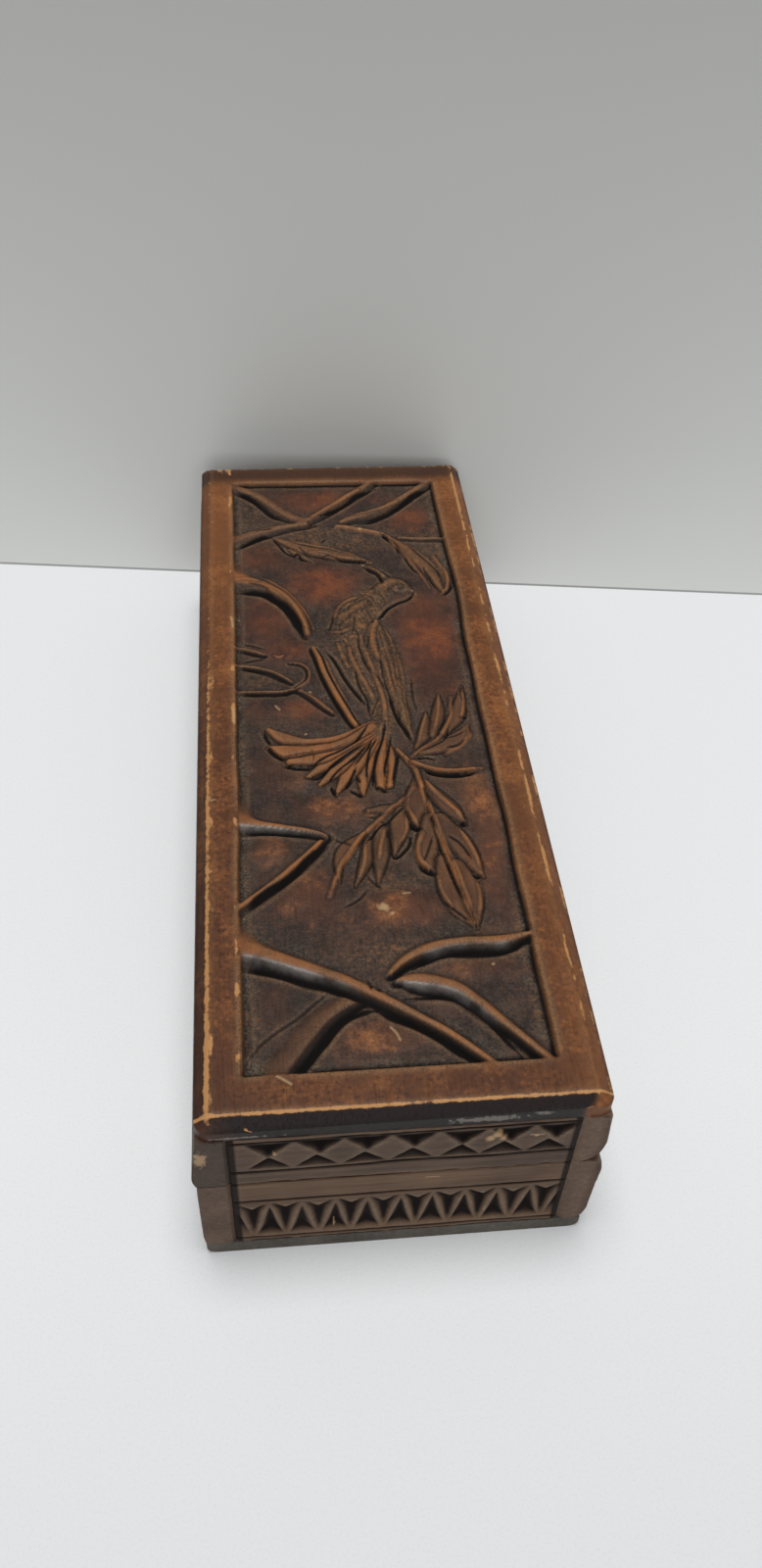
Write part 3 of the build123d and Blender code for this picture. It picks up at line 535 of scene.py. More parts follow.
# (depth, width, points) of the lines cut into the forms
detailLines = [
    # The deep cuts beside the branches
    (0.9, 1.49, [(-38, 125), (-33, 121.5), (-29, 116.5), (-25, 110), (-22, 107), (-19, 105)]),
    (0.8, 1.22, [(16, 125), (12, 123), (8, 120), (5, 116), (2, 113), (-1, 110.5), (-6, 107.5)]),
    (1.1, 1.62, [(37, 125), (34, 123), (30, 119.5), (27, 116), (23, 111.5), (19, 107.8),
                (15, 105.2), (12, 103.5), (8, 102)]),
    (0.8, 1.22, [(-38, 87.5), (-34, 90.5), (-30, 93.5), (-27, 95), (-24, 95.3)]),
    (1.1, 2.03, [(-38, 62), (-33, 62), (-30, 61.3), (-27, 60), (-25, 57.5), (-22, 54.5), (-20, 51),
                (-18, 46), (-17, 42), (-15.8, 38)]),
    (0.4, 0.6, [(-33, 66.4), (-29, 64.6), (-26, 61.6)]),
    (0.9, 1.35, [(-5, -112), (0, -115), (5, -117.5), (10, -121), (14, -125), (17.5, -128.5)]),
    (0.8, 1.22, [(-38, -97.8), (-33, -98.3), (-28, -100), (-22, -103), (-16, -105), (-10, -108.5)]),
    (0.8, 1.15, [(-4, -112), (-8, -112.3), (-12, -114), (-15, -116.5), (-18, -120.5), (-21, -124),
                (-24, -129)]),
    (0.35, 0.5, [(-16, -105.6), (-20, -109), (-25, -113.5), (-30, -117), (-34, -120.5), (-38, -126)]),
    (0.8, 1.49, [(6, -100), (9, -98), (12, -96.2), (15, -95.6), (20, -96.2), (28, -96.2), (33, -94.7),
                (38, -92)]),
    (0.7, 1.0, [(3, -109.3), (8, -109), (13, -109), (17, -110.5), (21, -114), (24, -118.5),
                (26.5, -123), (29.5, -128)]),
    (0.7, 0.8, [(-36, -51), (-33.5, -50.6), (-30, -50.6), (-27, -51), (-22, -51.8), (-19, -52.6)]),
    (0.8, 1.22, [(-13.8, -55.4), (-16, -58.2), (-19.5, -61.8), (-23, -66), (-27, -69.7),
                (-30, -71.8), (-33, -74.4), (-37.5, -78.5)]),
    (0.6, 0.6, [(-37, 21), (-33, 20.2), (-30, 19), (-26.5, 17), (-23.5, 14.8), (-21.5, 13)]),
    (0.5, 0.5, [(-36, 34), (-32, 32.6), (-29, 31)]),
    (0.5, 0.5, [(-31, 98), (-24, 99.6)]),
    (0.5, 0.5, [(-6.4, -102.9), (-5.5, -104.6), (-5.9, -106.6)]),
    (0.3, 0.4, [(-9.6, -101.8), (-8.6, -103)]),
    # The neck, and short strokes on the body
    (0.3, 0.4, [(8.2, 60.4), (10.6, 63.4), (12.8, 66.4)]),
    (0.4, 0.35, [(6, 50), (7.6, 46), (8.2, 41)]),
    (0.4, 0.4, [(1, 40), (2.6, 35.6), (2.4, 31)]),
    (0.4, 0.35, [(-3, 35), (-1.6, 30.6), (-1.6, 26.6)]),
    (0.4, 0.35, [(4.6, 37), (4.2, 32.6), (5.2, 28)]),
    (0.4, 0.35, [(2.6, 24.6), (3.6, 20), (5.4, 15)]),
    (0.35, 0.35, [(6.6, 58), (9, 55.6), (10, 52.6)]),
    (0.35, 0.35, [(11, 58.4), (13, 56), (13.4, 53.4)]),
    (0.35, 0.3, [(14.4, 62.6), (16.2, 61), (17.4, 58.8)]),
    # Bird: long wing and back feathers
    (0.55, 0.5, [(7.4, 41), (6.2, 35), (5, 29)]),
    (0.5, 0.45, [(8.6, 35), (8.5, 25), (9, 12), (10.6, 1)]),
    (0.5, 0.45, [(11, 31), (11.5, 20), (11.5, 8), (12.5, -8)]),
    (0.5, 0.45, [(14.6, 21), (15, 8), (15.4, -3)]),
    (0.35, 0.5, [(17.8, 14), (17.4, 5), (18, -2)]),
    (0.6, 0.5, [(2, 34), (2.4, 28), (4, 20), (7, 14), (9, 8)]),
    (0.6, 0.5, [(0.2, 20), (0.6, 12), (2.8, 4), (3, -3)]),
    (1.0, 0.7, [(-9, 29.6), (-6.6, 25), (-5, 20), (-3.5, 15), (-1, 9), (1.2, 4.5), (2.9, 1.5)]),
    (0.9, 0.7, [(9.9, 6), (10.4, 0), (11.6, -5.5), (13.3, -10.5), (15, -16)]),
    (0.4, 0.35, [(3.5, -3), (4.6, 0), (6.4, 4.6)]),
    # Breast feathers
    (0.5, 0.35, [(2.7, 54.7), (3.8, 56.6)]),
    (0.5, 0.35, [(1.4, 53.4), (0.3, 51), (0.5, 45)]),
    (0.5, 0.35, [(7, 53.2), (7.7, 55)]),
    (0.4, 0.35, [(4.2, 47.6), (5, 49.6)]),
    (0.5, 0.5, [(-3.6, 52.6), (-4.8, 48), (-6, 43), (-7.2, 39.6)]),
    (0.35, 0.4, [(-2, 45), (-3.4, 41), (-2.6, 36)]),
    (0.35, 0.4, [(2, 46), (1.4, 41), (0.4, 36)]),
    # Throat, head and crest
    (1.2, 0.75, [(24, 59), (22.5, 57), (20.8, 55.2), (17, 53.2), (13.8, 50.6), (11.4, 47), (9.6, 44)]),
    (0.8, 0.7, [(7.6, 75), (10, 72.2), (12, 69.8), (13, 66.8), (13.2, 62.4)]),
    (0.8, 0.7, [(12, 73.4), (14, 71.2), (16.8, 68)]),
    (0.5, 0.35, [(17.9, 62.4), (18.6, 64.4), (19.4, 64.2), (20.6, 61.2)]),
    (0.35, 0.3, [(18.2, 61.8), (19, 60.8), (20.2, 61)]),
    (0.3, 0.35, [(21.2, 59.6), (22.4, 58.8), (23.8, 58.6)]),
    # Tail: lines between and in the feathers
    (0.9, 0.5, [(2.6, -7), (-2, -14.6), (-8, -19.4), (-12, -21.6), (-16.4, -25.2)]),
    (0.9, 0.5, [(0, -16), (-5, -20.2), (-10, -25), (-14, -29.2), (-18, -30)]),
    (0.8, 0.45, [(1.6, -16), (-3, -22), (-8, -27), (-12, -32.2)]),
    (0.7, 0.45, [(3, -14), (0, -20), (-3.6, -26)]),
    (0.9, 0.55, [(-3, -26.4), (-5.4, -32), (-7.4, -35)]),
    (0.7, 0.5, [(-3.4, -29.6), (-2.4, -33)]),
    (0.8, 0.5, [(4, -14), (1.4, -20), (0, -27), (-0.4, -33)]),
    (0.9, 0.55, [(7.6, -6), (6, -14), (3.6, -21), (2, -28), (1.2, -34.6)]),
    (0.8, 0.5, [(8.6, -13), (7.2, -20), (5.6, -26), (5, -31)]),
    (0.4, 0.35, [(-13, -16), (-19, -16.4), (-26.6, -14.8)]),
    (0.35, 0.3, [(-12, -18.7), (-18, -19.5), (-24.6, -20.6)]),
    (0.35, 0.3, [(-16, -18), (-15.4, -20.4), (-15.8, -23.6)]),
    (0.9, 0.7, [(-30, -9), (-29.2, -12), (-28, -14.4)]),
    (1.1, 0.7, [(-29.2, -16), (-27.2, -19), (-24, -22)]),
    (1.2, 0.8, [(-24.6, -24), (-20.4, -25.2), (-16.2, -25.6)]),
    (1.1, 0.7, [(-11, -33), (-10.6, -35), (-9.8, -37.6)]),
    (1.0, 0.7, [(-5.6, -35), (-3.8, -36.6), (-2, -38.4)]),
    (1.0, 0.7, [(2, -34.6), (3.4, -35.6), (5.2, -36.4)]),
    (0.9, 0.6, [(10, -21), (8.6, -27), (7.2, -33.6)]),
    # Leaf ribs and the cuts at the lobes' tips
    (1.1, 0.6, [(15.8, -38), (17, -48), (18.4, -60), (20.4, -72), (22.6, -80.6)]),
    (0.7, 0.5, [(9.4, -40.6), (3, -47), (-1, -51), (-4.6, -57)]),
    (0.9, 0.5, [(10.4, -42), (5.6, -47), (1, -51.4), (-3, -57)]),
    (1.4, 1.1, [(10.6, -49.6), (12, -51), (13.6, -51.8)]),
    (1.4, 1.1, [(11.6, -65), (13.4, -67.2), (15.6, -68.6)]),
    (1.4, 1.0, [(25, -50), (26.6, -50.6)]),
    (1.0, 0.8, [(25.6, -69.6), (28, -70.6)]),
    (1.0, 0.6, [(4, -60), (5, -62), (7, -60.6), (9.6, -57), (10.4, -53)]),
    (0.8, 0.5, [(-1.8, -43.4), (-1, -45.6), (1, -46.6)]),
    (0.7, 0.45, [(20.4, -54.6), (23, -57), (24.8, -60), (26.2, -64)]),
    (0.7, 0.45, [(16.6, -78.6), (19.6, -82.4), (22.6, -86)]),
    (0.6, 0.4, [(16.4, -55), (14.6, -60), (12.8, -64.4)]),
    (1.0, 0.6, [(15.2, -23), (18, -22.6), (21, -23.4)]),
    (1.5, 1.0, [(16.6, -27.4), (20, -29.6), (26, -30.8), (33, -30)]),
    (0.8, 0.6, [(25.4, -19), (29, -18), (31.6, -15.6)]),
    (0.9, 0.6, [(31, -5.8), (33.2, -5.2)]),
    (0.7, 0.4, [(17, -20.4), (22, -17.6), (25.2, -14.8), (27, -9), (28.4, -5)]),
    (0.6, 0.4, [(25, -15), (28.4, -14), (31.4, -12.4)]),
    (0.6, 0.4, [(33.4, 8.6), (32.6, 5), (33, 1)]),
    # Leaves over the head
    (0.9, 0.5, [(-19, 93), (-15, 89.8), (-9, 87.4), (-3, 85.6), (2.6, 83.4)]),
    (0.5, 0.4, [(-15, 88), (-13, 84.6), (-11.6, 83)]),
    (1.2, 0.7, [(-6.4, 81.4), (-4, 82.2), (0, 79.7), (5, 78.4), (9.8, 77.6)]),
    (0.9, 0.6, [(-24.6, 95), (-22, 90), (-19.8, 85.4), (-17, 83), (-15.4, 83.6),
                (-14, 80.6), (-11, 79)]),
    (1.0, 0.7, [(15.4, 95), (18, 91.4), (20.2, 88), (21.2, 83)]),
    (0.8, 0.5, [(22.6, 81), (23.6, 77.6), (25, 73.6), (26.8, 70.6)]),
    (0.6, 0.4, [(25, 86), (28, 82), (30.5, 77.5), (32.5, 73.5), (33.8, 69.5), (34, 65.5)]),
    (0.6, 0.4, [(28.7, 74.5), (29, 71), (30.3, 67), (32, 60.5)]),
    (0.8, 0.6, [(37.4, 63), (36.6, 60.4), (34, 57)]),
    # Twigs, ground and border
    (0.5, 0.5, [(-38, 8.4), (-30, 8), (-24, 8), (-19, 9.2), (-16, 7.2), (-12, 2), (-9, -2)]),
    (0.3, 0.4, [(-31, 21.6), (-26, 19.8), (-21, 15.4)]),
    (0.5, 0.6, [(-36, 24.6), (-32, 25.6), (-28.6, 26)]),
    (0.5, 0.5, [(-10, -78.4), (-6, -76), (-3.8, -73.2)]),
    (0.5, 0.5, [(-3.4, -68), (-1.8, -70.6), (0.4, -72.8)]),
    (0.5, 0.5, [(-11.4, -54), (-9, -55.4), (-6.8, -57.2)]),
    (0.6, 0.6, [(-6.6, 91), (-5, 93)]),
    (0.5, 0.5, [(-17, 99.6), (-13, 100.2), (-10, 101)]),
]
# Narrow rubbed ridges: (height, half width, how rubbed, points)
ridges = [
    # Ribs and rolled edges of the long leaf
    (0.75, 0.75, 1.0, [(14.4, -29), (15.4, -36), (17, -46), (18.8, -57), (20.8, -69), (23.8, -86)]),
    (0.35, 0.45, 0.7, [(16.6, -37), (18, -47), (20, -58), (22.2, -70), (24.2, -84)]),
    (0.55, 0.65, 1.0, [(16.6, -31), (18.4, -36), (21.4, -41), (24.4, -45.4), (26.2, -48.6)]),
    (0.5, 0.6, 1.0, [(24.4, -52), (26, -57), (27.6, -62.4), (28.4, -67)]),
    (0.4, 0.6, 0.6, [(26.8, -72), (27, -77), (26, -83)]),
    (0.45, 0.6, 0.8, [(11.4, -38), (10.2, -42.4), (11.4, -46.6), (12.4, -50)]),
    (0.5, 0.7, 0.9, [(13.4, -54), (11.6, -58.4), (11.6, -63), (13.8, -66.6)]),
    (0.35, 0.5, 0.5, [(16, -70), (16.4, -75), (18.4, -80.4)]),
    # The left leaf
    (0.6, 0.65, 0.9, [(13, -35.6), (8, -41.4), (2, -47.6), (-3, -53), (-7, -59), (-11, -66),
                      (-14, -74.6)]),
    (0.3, 0.5, 0.8, [(-1, -43.4), (-1.4, -45.4), (1.4, -45.2)]),
    (0.35, 0.5, 0.8, [(3.6, -50.6), (1.8, -56), (0.6, -62)]),
    (0.3, 0.45, 0.7, [(-3, -57), (-3.6, -63), (-5.4, -68.6)]),
    (0.3, 0.45, 0.6, [(9.8, -46), (9.4, -52), (7, -57)]),
    # The right leaf and the thin leaf under it
    (0.5, 0.6, 0.8, [(13.8, -22.4), (17.4, -19), (22, -15.6), (25.6, -11), (28, -5), (29.4, 4)]),
    (0.45, 0.6, 0.9, [(24.6, -21), (29.4, -18.4), (32.6, -14.4), (33, -11)]),
    (0.4, 0.5, 0.7, [(31.4, -6), (33, 0), (33.6, 7)]),
    (0.35, 0.45, 0.6, [(17, -15.6), (18.6, -9.6), (20.4, -4)]),
    (0.35, 0.45, 0.6, [(22.6, -10.4), (24.2, -4), (25.4, 3.6)]),
    (0.45, 0.6, 0.7, [(12.6, -23), (17, -26.6), (23, -28.6), (30, -28.8), (34.4, -28.2)]),
    # Long feathers of the wing and the back
    (0.35, 0.9, 0.9, [(9.4, 43.6), (7.4, 39), (6.8, 33), (7.4, 27.6), (8.6, 23)]),
    (0.3, 0.6, 0.7, [(4.6, 26), (5.6, 18), (7, 10), (7.8, 2), (7.6, -6)]),
    (0.3, 0.5, 0.5, [(9.6, 24), (10.4, 16), (11.2, 8), (12.2, -2)]),
    (0.3, 0.5, 0.4, [(11.6, 40), (13.4, 32), (13.8, 24), (13.4, 14)]),
    (0.3, 0.5, 0.35, [(10.4, 36), (11.2, 28), (11.8, 20), (12.2, 10)]),
    (0.3, 0.5, 0.35, [(14.6, 26), (15, 16), (14.8, 4), (15, -8)]),
    (0.3, 0.6, 0.8, [(-1.4, 30), (-0.4, 24), (1.2, 17), (3.4, 10), (5, 3)]),
    (0.25, 0.5, 0.6, [(-4.6, 33), (-3.6, 27), (-2, 20)]),
    # Breast, head and crest
    (0.3, 0.6, 0.75, [(4.4, 57.4), (1.4, 56.4), (-1.8, 53.6), (-3.8, 50.6), (-4.8, 45.6)]),
    (0.3, 0.7, 0.7, [(-6.6, 39.6), (-3, 38.6), (0, 39.8)]),
    (0.35, 0.5, 0.6, [(15.6, 67.4), (18.6, 66.8), (21, 64.4), (22.4, 61)]),
    (0.1, 1.5, 0.5, [(12.4, 61.4), (15.6, 64.6), (18.4, 65.4), (20.4, 64)]),
    (0.1, 1.1, 0.45, [(-3.4, 44.6), (-1, 47.6), (2.4, 50.6), (6, 53)]),
    (0.3, 0.45, 0.7, [(10, 74), (12.4, 71.2), (14, 67.6)]),
    # Rubbed crests in the far corner
    (0.25, 0.7, 0.8, [(-9, 107), (-4, 111.4), (1, 116), (6, 121), (9, 124)]),
    (0.25, 0.7, 0.7, [(6, 107.4), (12, 109.4), (18, 112), (23, 115.4)]),
    # Leaves over the head
    (0.35, 0.5, 0.7, [(-20.6, 93.8), (-15.6, 90.8), (-9.6, 88.8), (-3, 86.6), (3.4, 83), (8, 79)]),
    (0.3, 0.5, 0.5, [(-11, 84.4), (-6.4, 84), (-1.4, 81.4), (4, 79.6)]),
    (0.35, 0.45, 0.7, [(17.4, 94.4), (19.6, 88.6), (22.6, 82.6), (25.4, 76), (27.4, 70), (29.6, 62)]),
    (0.35, 0.5, 0.8, [(36.2, 72), (36.6, 66), (35, 60.4), (33, 58)]),
    (0.3, 0.4, 0.6, [(25.6, 87.6), (28.6, 83), (31.4, 78), (33.4, 73)]),
    (0.3, 0.45, 0.5, [(38, 91.2), (30, 91.3), (22, 92.4)]),
    # Beside the perch and on the twigs
    (0.3, 0.45, 0.8, [(-29, 70.6), (-25, 67.2), (-21, 62.8), (-18, 58.2), (-15.4, 52.6),
                      (-13.5, 47.4), (-12, 41.2)]),
    (0.3, 0.45, 0.7, [(-30, 66), (-25, 63.2), (-21.5, 59.2), (-19, 55), (-17, 50), (-15.5, 45),
                      (-14.5, 41)]),
    (0.25, 0.5, 0.8, [(-38, 68.6), (-34, 68.6), (-30, 67.4)]),
    (0.25, 0.4, 0.7, [(-9.4, 26), (-7.8, 18), (-5.8, 10.6), (-3.8, 4.8)]),
    (0.3, 0.45, 0.6, [(-36.6, 31.6), (-33, 30.6), (-30.2, 28.8)]),
    (0.3, 0.5, 0.8, [(-25.6, 27.6), (-24, 26.6), (-22.8, 27.6)]),
]
# Pale knocks as (radius, x, y), and lines scratched through the stain as (half width, points)
lidKnocks = [
    (1.35, 0.2, -79.6), (0.6, 2.4, -81.8), (0.35, 26.8, -99.8), (0.35, -17.3, -10.2),
    (0.35, -36.8, 47), (0.6, 8, 98), (0.5, 7.4, 76.6), (0.45, -15, 9.4),
]
lidScratches = [
    (0.35, [(-1.6, -117.4), (-0.4, -119.2), (0.2, -121)]),
    (0.35, [(-30, -130), (-28.6, -131), (-27, -132.2)]),
    (0.25, [(-46.4, -36.6), (-46, -38), (-45.2, -37.8)]),
    (0.3, [(6, -75), (7.6, -74.8)]),
    (0.35, [(-26, 3), (-25, 1.4)]),
    (0.5, [(-39.2, 46), (-39, 42)]),
    (0.5, [(-39.2, 0.4), (-39, -5)]),
]


def unchanged(forms):
    return [({}, stations) for stations in forms]


# Every form in the order in which they are carved, as (shape, forms)
carving = [
    ({**leafShape, "shade": 0.1, "plume": 0.8}, softLeaves),
    (farShape, farBranches),
    (branchShape, nearBranches + leftFork + perch),
    (twigShape, thinTwigs),
    (leafShape, unchanged(leafLobes)),
    (ribShape, unchanged(stalks)),
    (featherShape, unchanged(tailFeathers)),
    (bodyShape, bird),
]


def patches(x, y, places, power, ragged=1.0):
    # Soft blots from (x, y, half width, half length, how strongly), ragged where it varies
    total = np.zeros_like(x)
    for px, py, wide, long, strength in places:
        away = ragged * (((x - px) / wide) ** 2 + ((y - py) / long) ** 2)
        total = np.maximum(total, strength * np.exp(-(away**power)))
    return total


def fieldGap(x, y):
    # How far inside the sunk field's walls, which stray a little by hand
    s = lidBoard
    side = s["fieldHalfWidth"] + 0.35 * softNoise(x, y, (11, 17), 5) + bell(y, *s["fieldBulge"]) * (x > 0)
    end = s["fieldHalfLength"] - 0.01 * (x + 38) * (y > 0)
    return np.minimum(side - np.abs(x), end - np.abs(y))


def carveGround(relief, x, y, gap):
    # Uneven ground, higher where it is polished, with a trench along the walls
    s = lidBoard
    polish = patches(x, y, polishedGround, 1.3, 1 + 0.35 * softNoise(x, y, (5, 7), 14))
    ground = s["ground"] + s["groundWave"] * softNoise(x, y, (13, 19), 11) + s["polishRise"] * polish
    ground += (s["wallFloor"] - ground) * bell(np.clip(gap, 0, None), 0, s["wallSpread"])
    rim = bell(gap, 2.6, 0.6) * unit(0.6 + softNoise(x, y, (6, 12), 15))
    relief["h"] = ground + 0.12 * rim
    relief["paint"]["rim"] = 0.35 * rim
    relief["paint"]["plume"] = patches(x, y, dustyGround, 1.5)
    return polish


def edgeGaps(relief, x, y):
    halfX, halfY = relief["x"][-1], relief["y"][-1]
    return {"left": x + halfX, "right": halfX - x, "near": y + halfY, "far": halfY - y}


def bevelDrop(x, y, gaps):
    # Bevels run round the board, uneven along the near edge
    s = lidBoard
    width = s["bevelWidth"] * (1 + 0.07 * softNoise(x, y, (9, 9), 21))
    depths = dict.fromkeys(gaps, s["bevelDrop"])
    depths["near"] = np.interp(x, (x.min(), x.max()), s["nearBevelDrop"])
    return np.maximum.reduce([depths[edge] * unit(1 - gap / width) for edge, gap in gaps.items()])


# Lines worn pale, as (edge, mm in from it, half width, how solid, how patchy, least, most)
wornLines = [
    ("right", 3.4, 0.6, 0.5, 0.8, 0, 0.9), ("right", 0.6, 0.5, 0.2, 0.7, 0, 0.7),
    # The near entry, along the near arris, is worn wood and also a painted highlight
    ("near", 3.3, 0.4, 0.9, 0.3, 0.5, 1), ("far", 3.3, 0.7, 0.1, 0.8, 0, 0.8),
    ("left", 10.8, 0.7, -0.1, 1, 0, 1),
]
leftArris = [("left", 3.1, 0.7, 1, 0.35, 0.45, 1), ("left", 4.2, 0.8, -0.2, 1, 0, 1)]


def wornBorder(x, y, gaps):
    # Pale wood where hands have rubbed through the stain, heaviest on the left arris; along the near arris
    # it is also a painted highlight
    patchy = softNoise(x, y, (2.2, 6.5), 31) + 0.6 * softNoise(x, y, (0.9, 2.6), 32)

    def lines(kinds):
        return [
            bell(gaps[edge], inward, width) * np.clip(solid + uneven * patchy, least, most)
            for edge, inward, width, solid, uneven, least, most in kinds
        ]

    left = np.maximum(*lines(leftArris)) * np.clip((gaps["near"] - 4) / 2.5, 0.1, 1)
    left *= np.clip(0.9 + 0.4 * softNoise(x, y, (30, 30), 33), 0.5, 1)
    left *= np.interp(y, (-60, 60), (1, 0.35))
    corner = 0.5 * bell(x, -46.8, 1.0) * bell(y, -138.4, 1.8)
    farLeft = bell(x, -42, 2.6) * bell(y, 138, 2.2) * np.clip(patchy, 0, 0.5)
    return unit(left + sum(lines(wornLines)) + corner + farLeft)


def markPale(x, y, knocks, scratches):
    # Bare wood at knocks (radius, x, y) and at scratches (half width, points)
    relief = {"x": x[0], "y": y[:, 0]}
    pale = np.zeros_like(x)
    ragged = 1 + 0.45 * softNoise(x, y, (0.9, 0.9), 41)
    for radius, kx, ky in knocks:
        pale = np.maximum(pale, unit(1.6 - 1.2 * np.hypot(x - kx, y - ky) / (radius * ragged)))
    for width, points in scratches:
        part, gap, *_ = aroundPath(relief, smoothPath(points, fineStep), width + 1)
        pale[part] = np.maximum(pale[part], unit(1.5 - 1.5 * gap / width))
    return pale


def carveField(relief, x, y, gap):
    polish = carveGround(relief, x, y, gap)
    for shape, forms in carving:
        for change, stations in forms:
            raiseForm(relief, stations, {**shape, **change})
    for line in detailLines:
        cutLine(relief, *line)
    for ridge in ridges:
        addRidge(relief, *ridge)
    h = np.clip(relief["h"], lidBoard["deepest"], 0)
    h += 0.07 * softNoise(x, y, (1.4, 2.2), 13) + 0.08 * softNoise(x, y, (3.5, 5), 12)
    h += 0.16 * relief["paint"]["plume"] * softNoise(x, y, (0.9, 1.5), 16)
    wall = eased(unit(gap / lidBoard["wallWidth"] + 0.5))
    relief["h"] = np.minimum(h, 0) * wall
    for values in relief["paint"].values():
        values *= wall
    return polish


def lidMasks(relief, x, y, gap, gaps, polish):
    # The bevel's masks keep off the field, and the field's keep off the bevel
    halfX, bevel = x.max(), lidBoard["bevelWidth"]
    toEdge = np.minimum.reduce(list(gaps.values()))
    masks = reliefMasks(relief)
    inField = unit(gap * 2 + 0.5)
    asBorder = unit(1 + relief["h"] / 0.5) * unit((16 - gap) / 8) * np.clip((95 - y) / 8, 0.3, 1)
    # The bevels are painted dark, as stain and as painted shade: less at the left and towards the far end,
    # not at the right
    bevelStainAndShade = np.interp(x, (-halfX, 8 - halfX, halfX - 5, halfX - 3.2), (0.45, 1, 1, 0))
    bevelStainAndShade *= np.interp(y, (-100, 40), (1, 0.5))
    masks["depth"] *= inField
    masks["hollow"] *= inField
    masks["field"] = inField * (1 - asBorder)
    masks["polish"] = polish * inField
    masks["worn"] = wornBorder(x, y, gaps)
    masks["edge"] = bevelStainAndShade * unit((bevel + 0.2 - toEdge) / 0.8)
    masks["crest"] *= 1 - unit((bevel + 0.6 - toEdge) / 0.6)
    # Less dirt and painted shade in the creases on the field's left wall, which faces the light
    masks["crease"] *= 1 - 0.6 * bell(x, -37.2, 1.3)
    masks["pale"] = markPale(x, y, lidKnocks, lidScratches)
    return masks


def carveLid():
    s = lidBoard
    low, high = (Vector(c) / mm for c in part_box("lid_board"))
    middle, size = (low + high) / 2, high - low
    relief = newRelief(size.x, size.y, s["cell"])
    x, y = np.meshgrid(relief["x"], relief["y"])
    gap, gaps = fieldGap(x, y), edgeGaps(relief, x, y)
    polish = carveField(relief, x, y, gap)
    relief["h"] = blurred(relief["h"] - bevelDrop(x, y, gaps), 0.28 / s["cell"])
    print("lid carved")

    masks = lidMasks(relief, x, y, gap, gaps, polish)
    relief["h"] -= 0.12 * masks["worn"] + 0.15 * masks["pale"]

    # Corners are rounded by drawing the rows near the ends in
    radius = s["cornerRadius"]
    toEnd = np.clip(radius - (size.y / 2 - np.abs(y)), 0, radius)
    drawIn = 1 - (radius - np.sqrt(radius**2 - toEnd**2)) / (size.x / 2)
    front = np.stack([middle.x + x * drawIn, middle.y + y, high.z + relief["h"]], axis=-1)
    loops = ringsTowards(front, s["edgeRings"], lambda rim: np.c_[rim[:, :2], np.full(len(rim), low.z)])
    allMasks = spreadMasks(masks, front, loops, ("depth", "field", "polish", "edge"))
    piece = reliefMesh("carvedLidBoard", front, loops, allMasks)
    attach(piece, "lid")
    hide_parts("lid_board")
    return piece


lidPiece = carveLid()
print("lid board made")


# End boards and front sides, each with a chip-carved band on its outer face

lidBand = {
    "head": 1.6,  # the upper chips' top edge under the board's top, in mm
    "foot": 7.3,  # the lower chips' base above the joint
    "lineHeights": (6.2, -1.3),  # above the joint, or under the top where negative
    "pitch": 11.6,
    "halfWidth": 5.9,
    "upperHeight": 6.8,
    "lowerHeight": 5.4,
    "depth": 2.3,
    "upperLow": 0.66,  # how far down an upper chip's height it is deepest
    "lowerLow": 0.7,  # how far up a lower chip's height it is deepest
    "upperStray": 0.35,  # how far the hand strays in each row, mm
    "lowerStray": 0.3,
    "shift": 1.6,  # how far the far end's chips stand off the middle
    "dirt": (5.0, 0.06),  # how fast a chip darkens with depth, as dirt and painted shade, and from what depth
}
baseBand = {
    "head": 10.2,
    "foot": 3.1,
    "lineHeights": (1.9, -9.0),
    "pitch": 8.4,
    "toothDepth": 3.2,
    "ridge": 0.3,
    "depth": 2.3,
    "toothLow": 1.65,  # how far under the top edge a tooth is deepest, in tooth depths
    "footLow": 0.25,  # how far up a triangle's height it is deepest
    "stray": 0.35,  # how far the hand strays, mm
    "endChip": (0.9, 0.45, 1.2),  # a half chip's lowest point, inwards and up, and its depth
    # How fast the teeth darken with depth, as dirt and painted shade, and from what depth
    "dirt": (1.1, 0.05),
}
# Where the chips of the near end stand, in mm from the lid board's middle
nearUpperChips = (-33, -20.7, -9.2, 2.4, 14, 25.7, 37)
nearLowerChips = (-33, -21.4, -9.7, 1.7, 13.5, 24, 35.3)
# The front sides' outer faces, as (height, distance from the lid board's middle) in mm
sideProfiles = {
    "lid_front_side": ((36.5, 46.5), (38, 48.6), (40.5, 50.1), (44, 50.7), (57.7, 50.0)),
    "base_front_side": ((5.2, 49.3), (7, 50.4), (9.5, 51.0), (31, 51.4), (34, 50.9), (36.2, 49.8)),
}
bandBoard = {
    "cell": 0.26,
    "arris": 0.55,  # how far the worn edges round over, mm
    "cornerGroove": 0.85,
    "lineDepth": 0.75,
    "backRings": 3,
    "endInset": 0.8,  # from an end board's ends to its band
    "sideInset": 10.0,
    "endFaces": (142.9, 134.9),  # outer and inner, from the box's middle
    "sideInside": 42.8,
}
# Pale knocks on the near end, as (radius, x, z), and scratches
boardKnocks = {
    "lid_near_end": ([
        (1.3, 22.5, 52.6), (1.0, 20.6, 51.2), (0.8, 24, 51), (0.6, 32, 51.4), (0.4, -31.5, 50.6),
    ], [(0.25, [(30.6, 51.8), (33.4, 51.5)])]),
    "base_near_end": ([(0.3, -17, 10.4)], [
        (0.2, [(-17, 10), (-17, 11.4)]), (0.2, [(6, 33.8), (9, 33.8)]),
    ]),
}


def spreadOut(length, pitch):
    count = int(length / pitch + 0.02)
    return [pitch * (i - (count - 1) / 2) for i in range(count)]


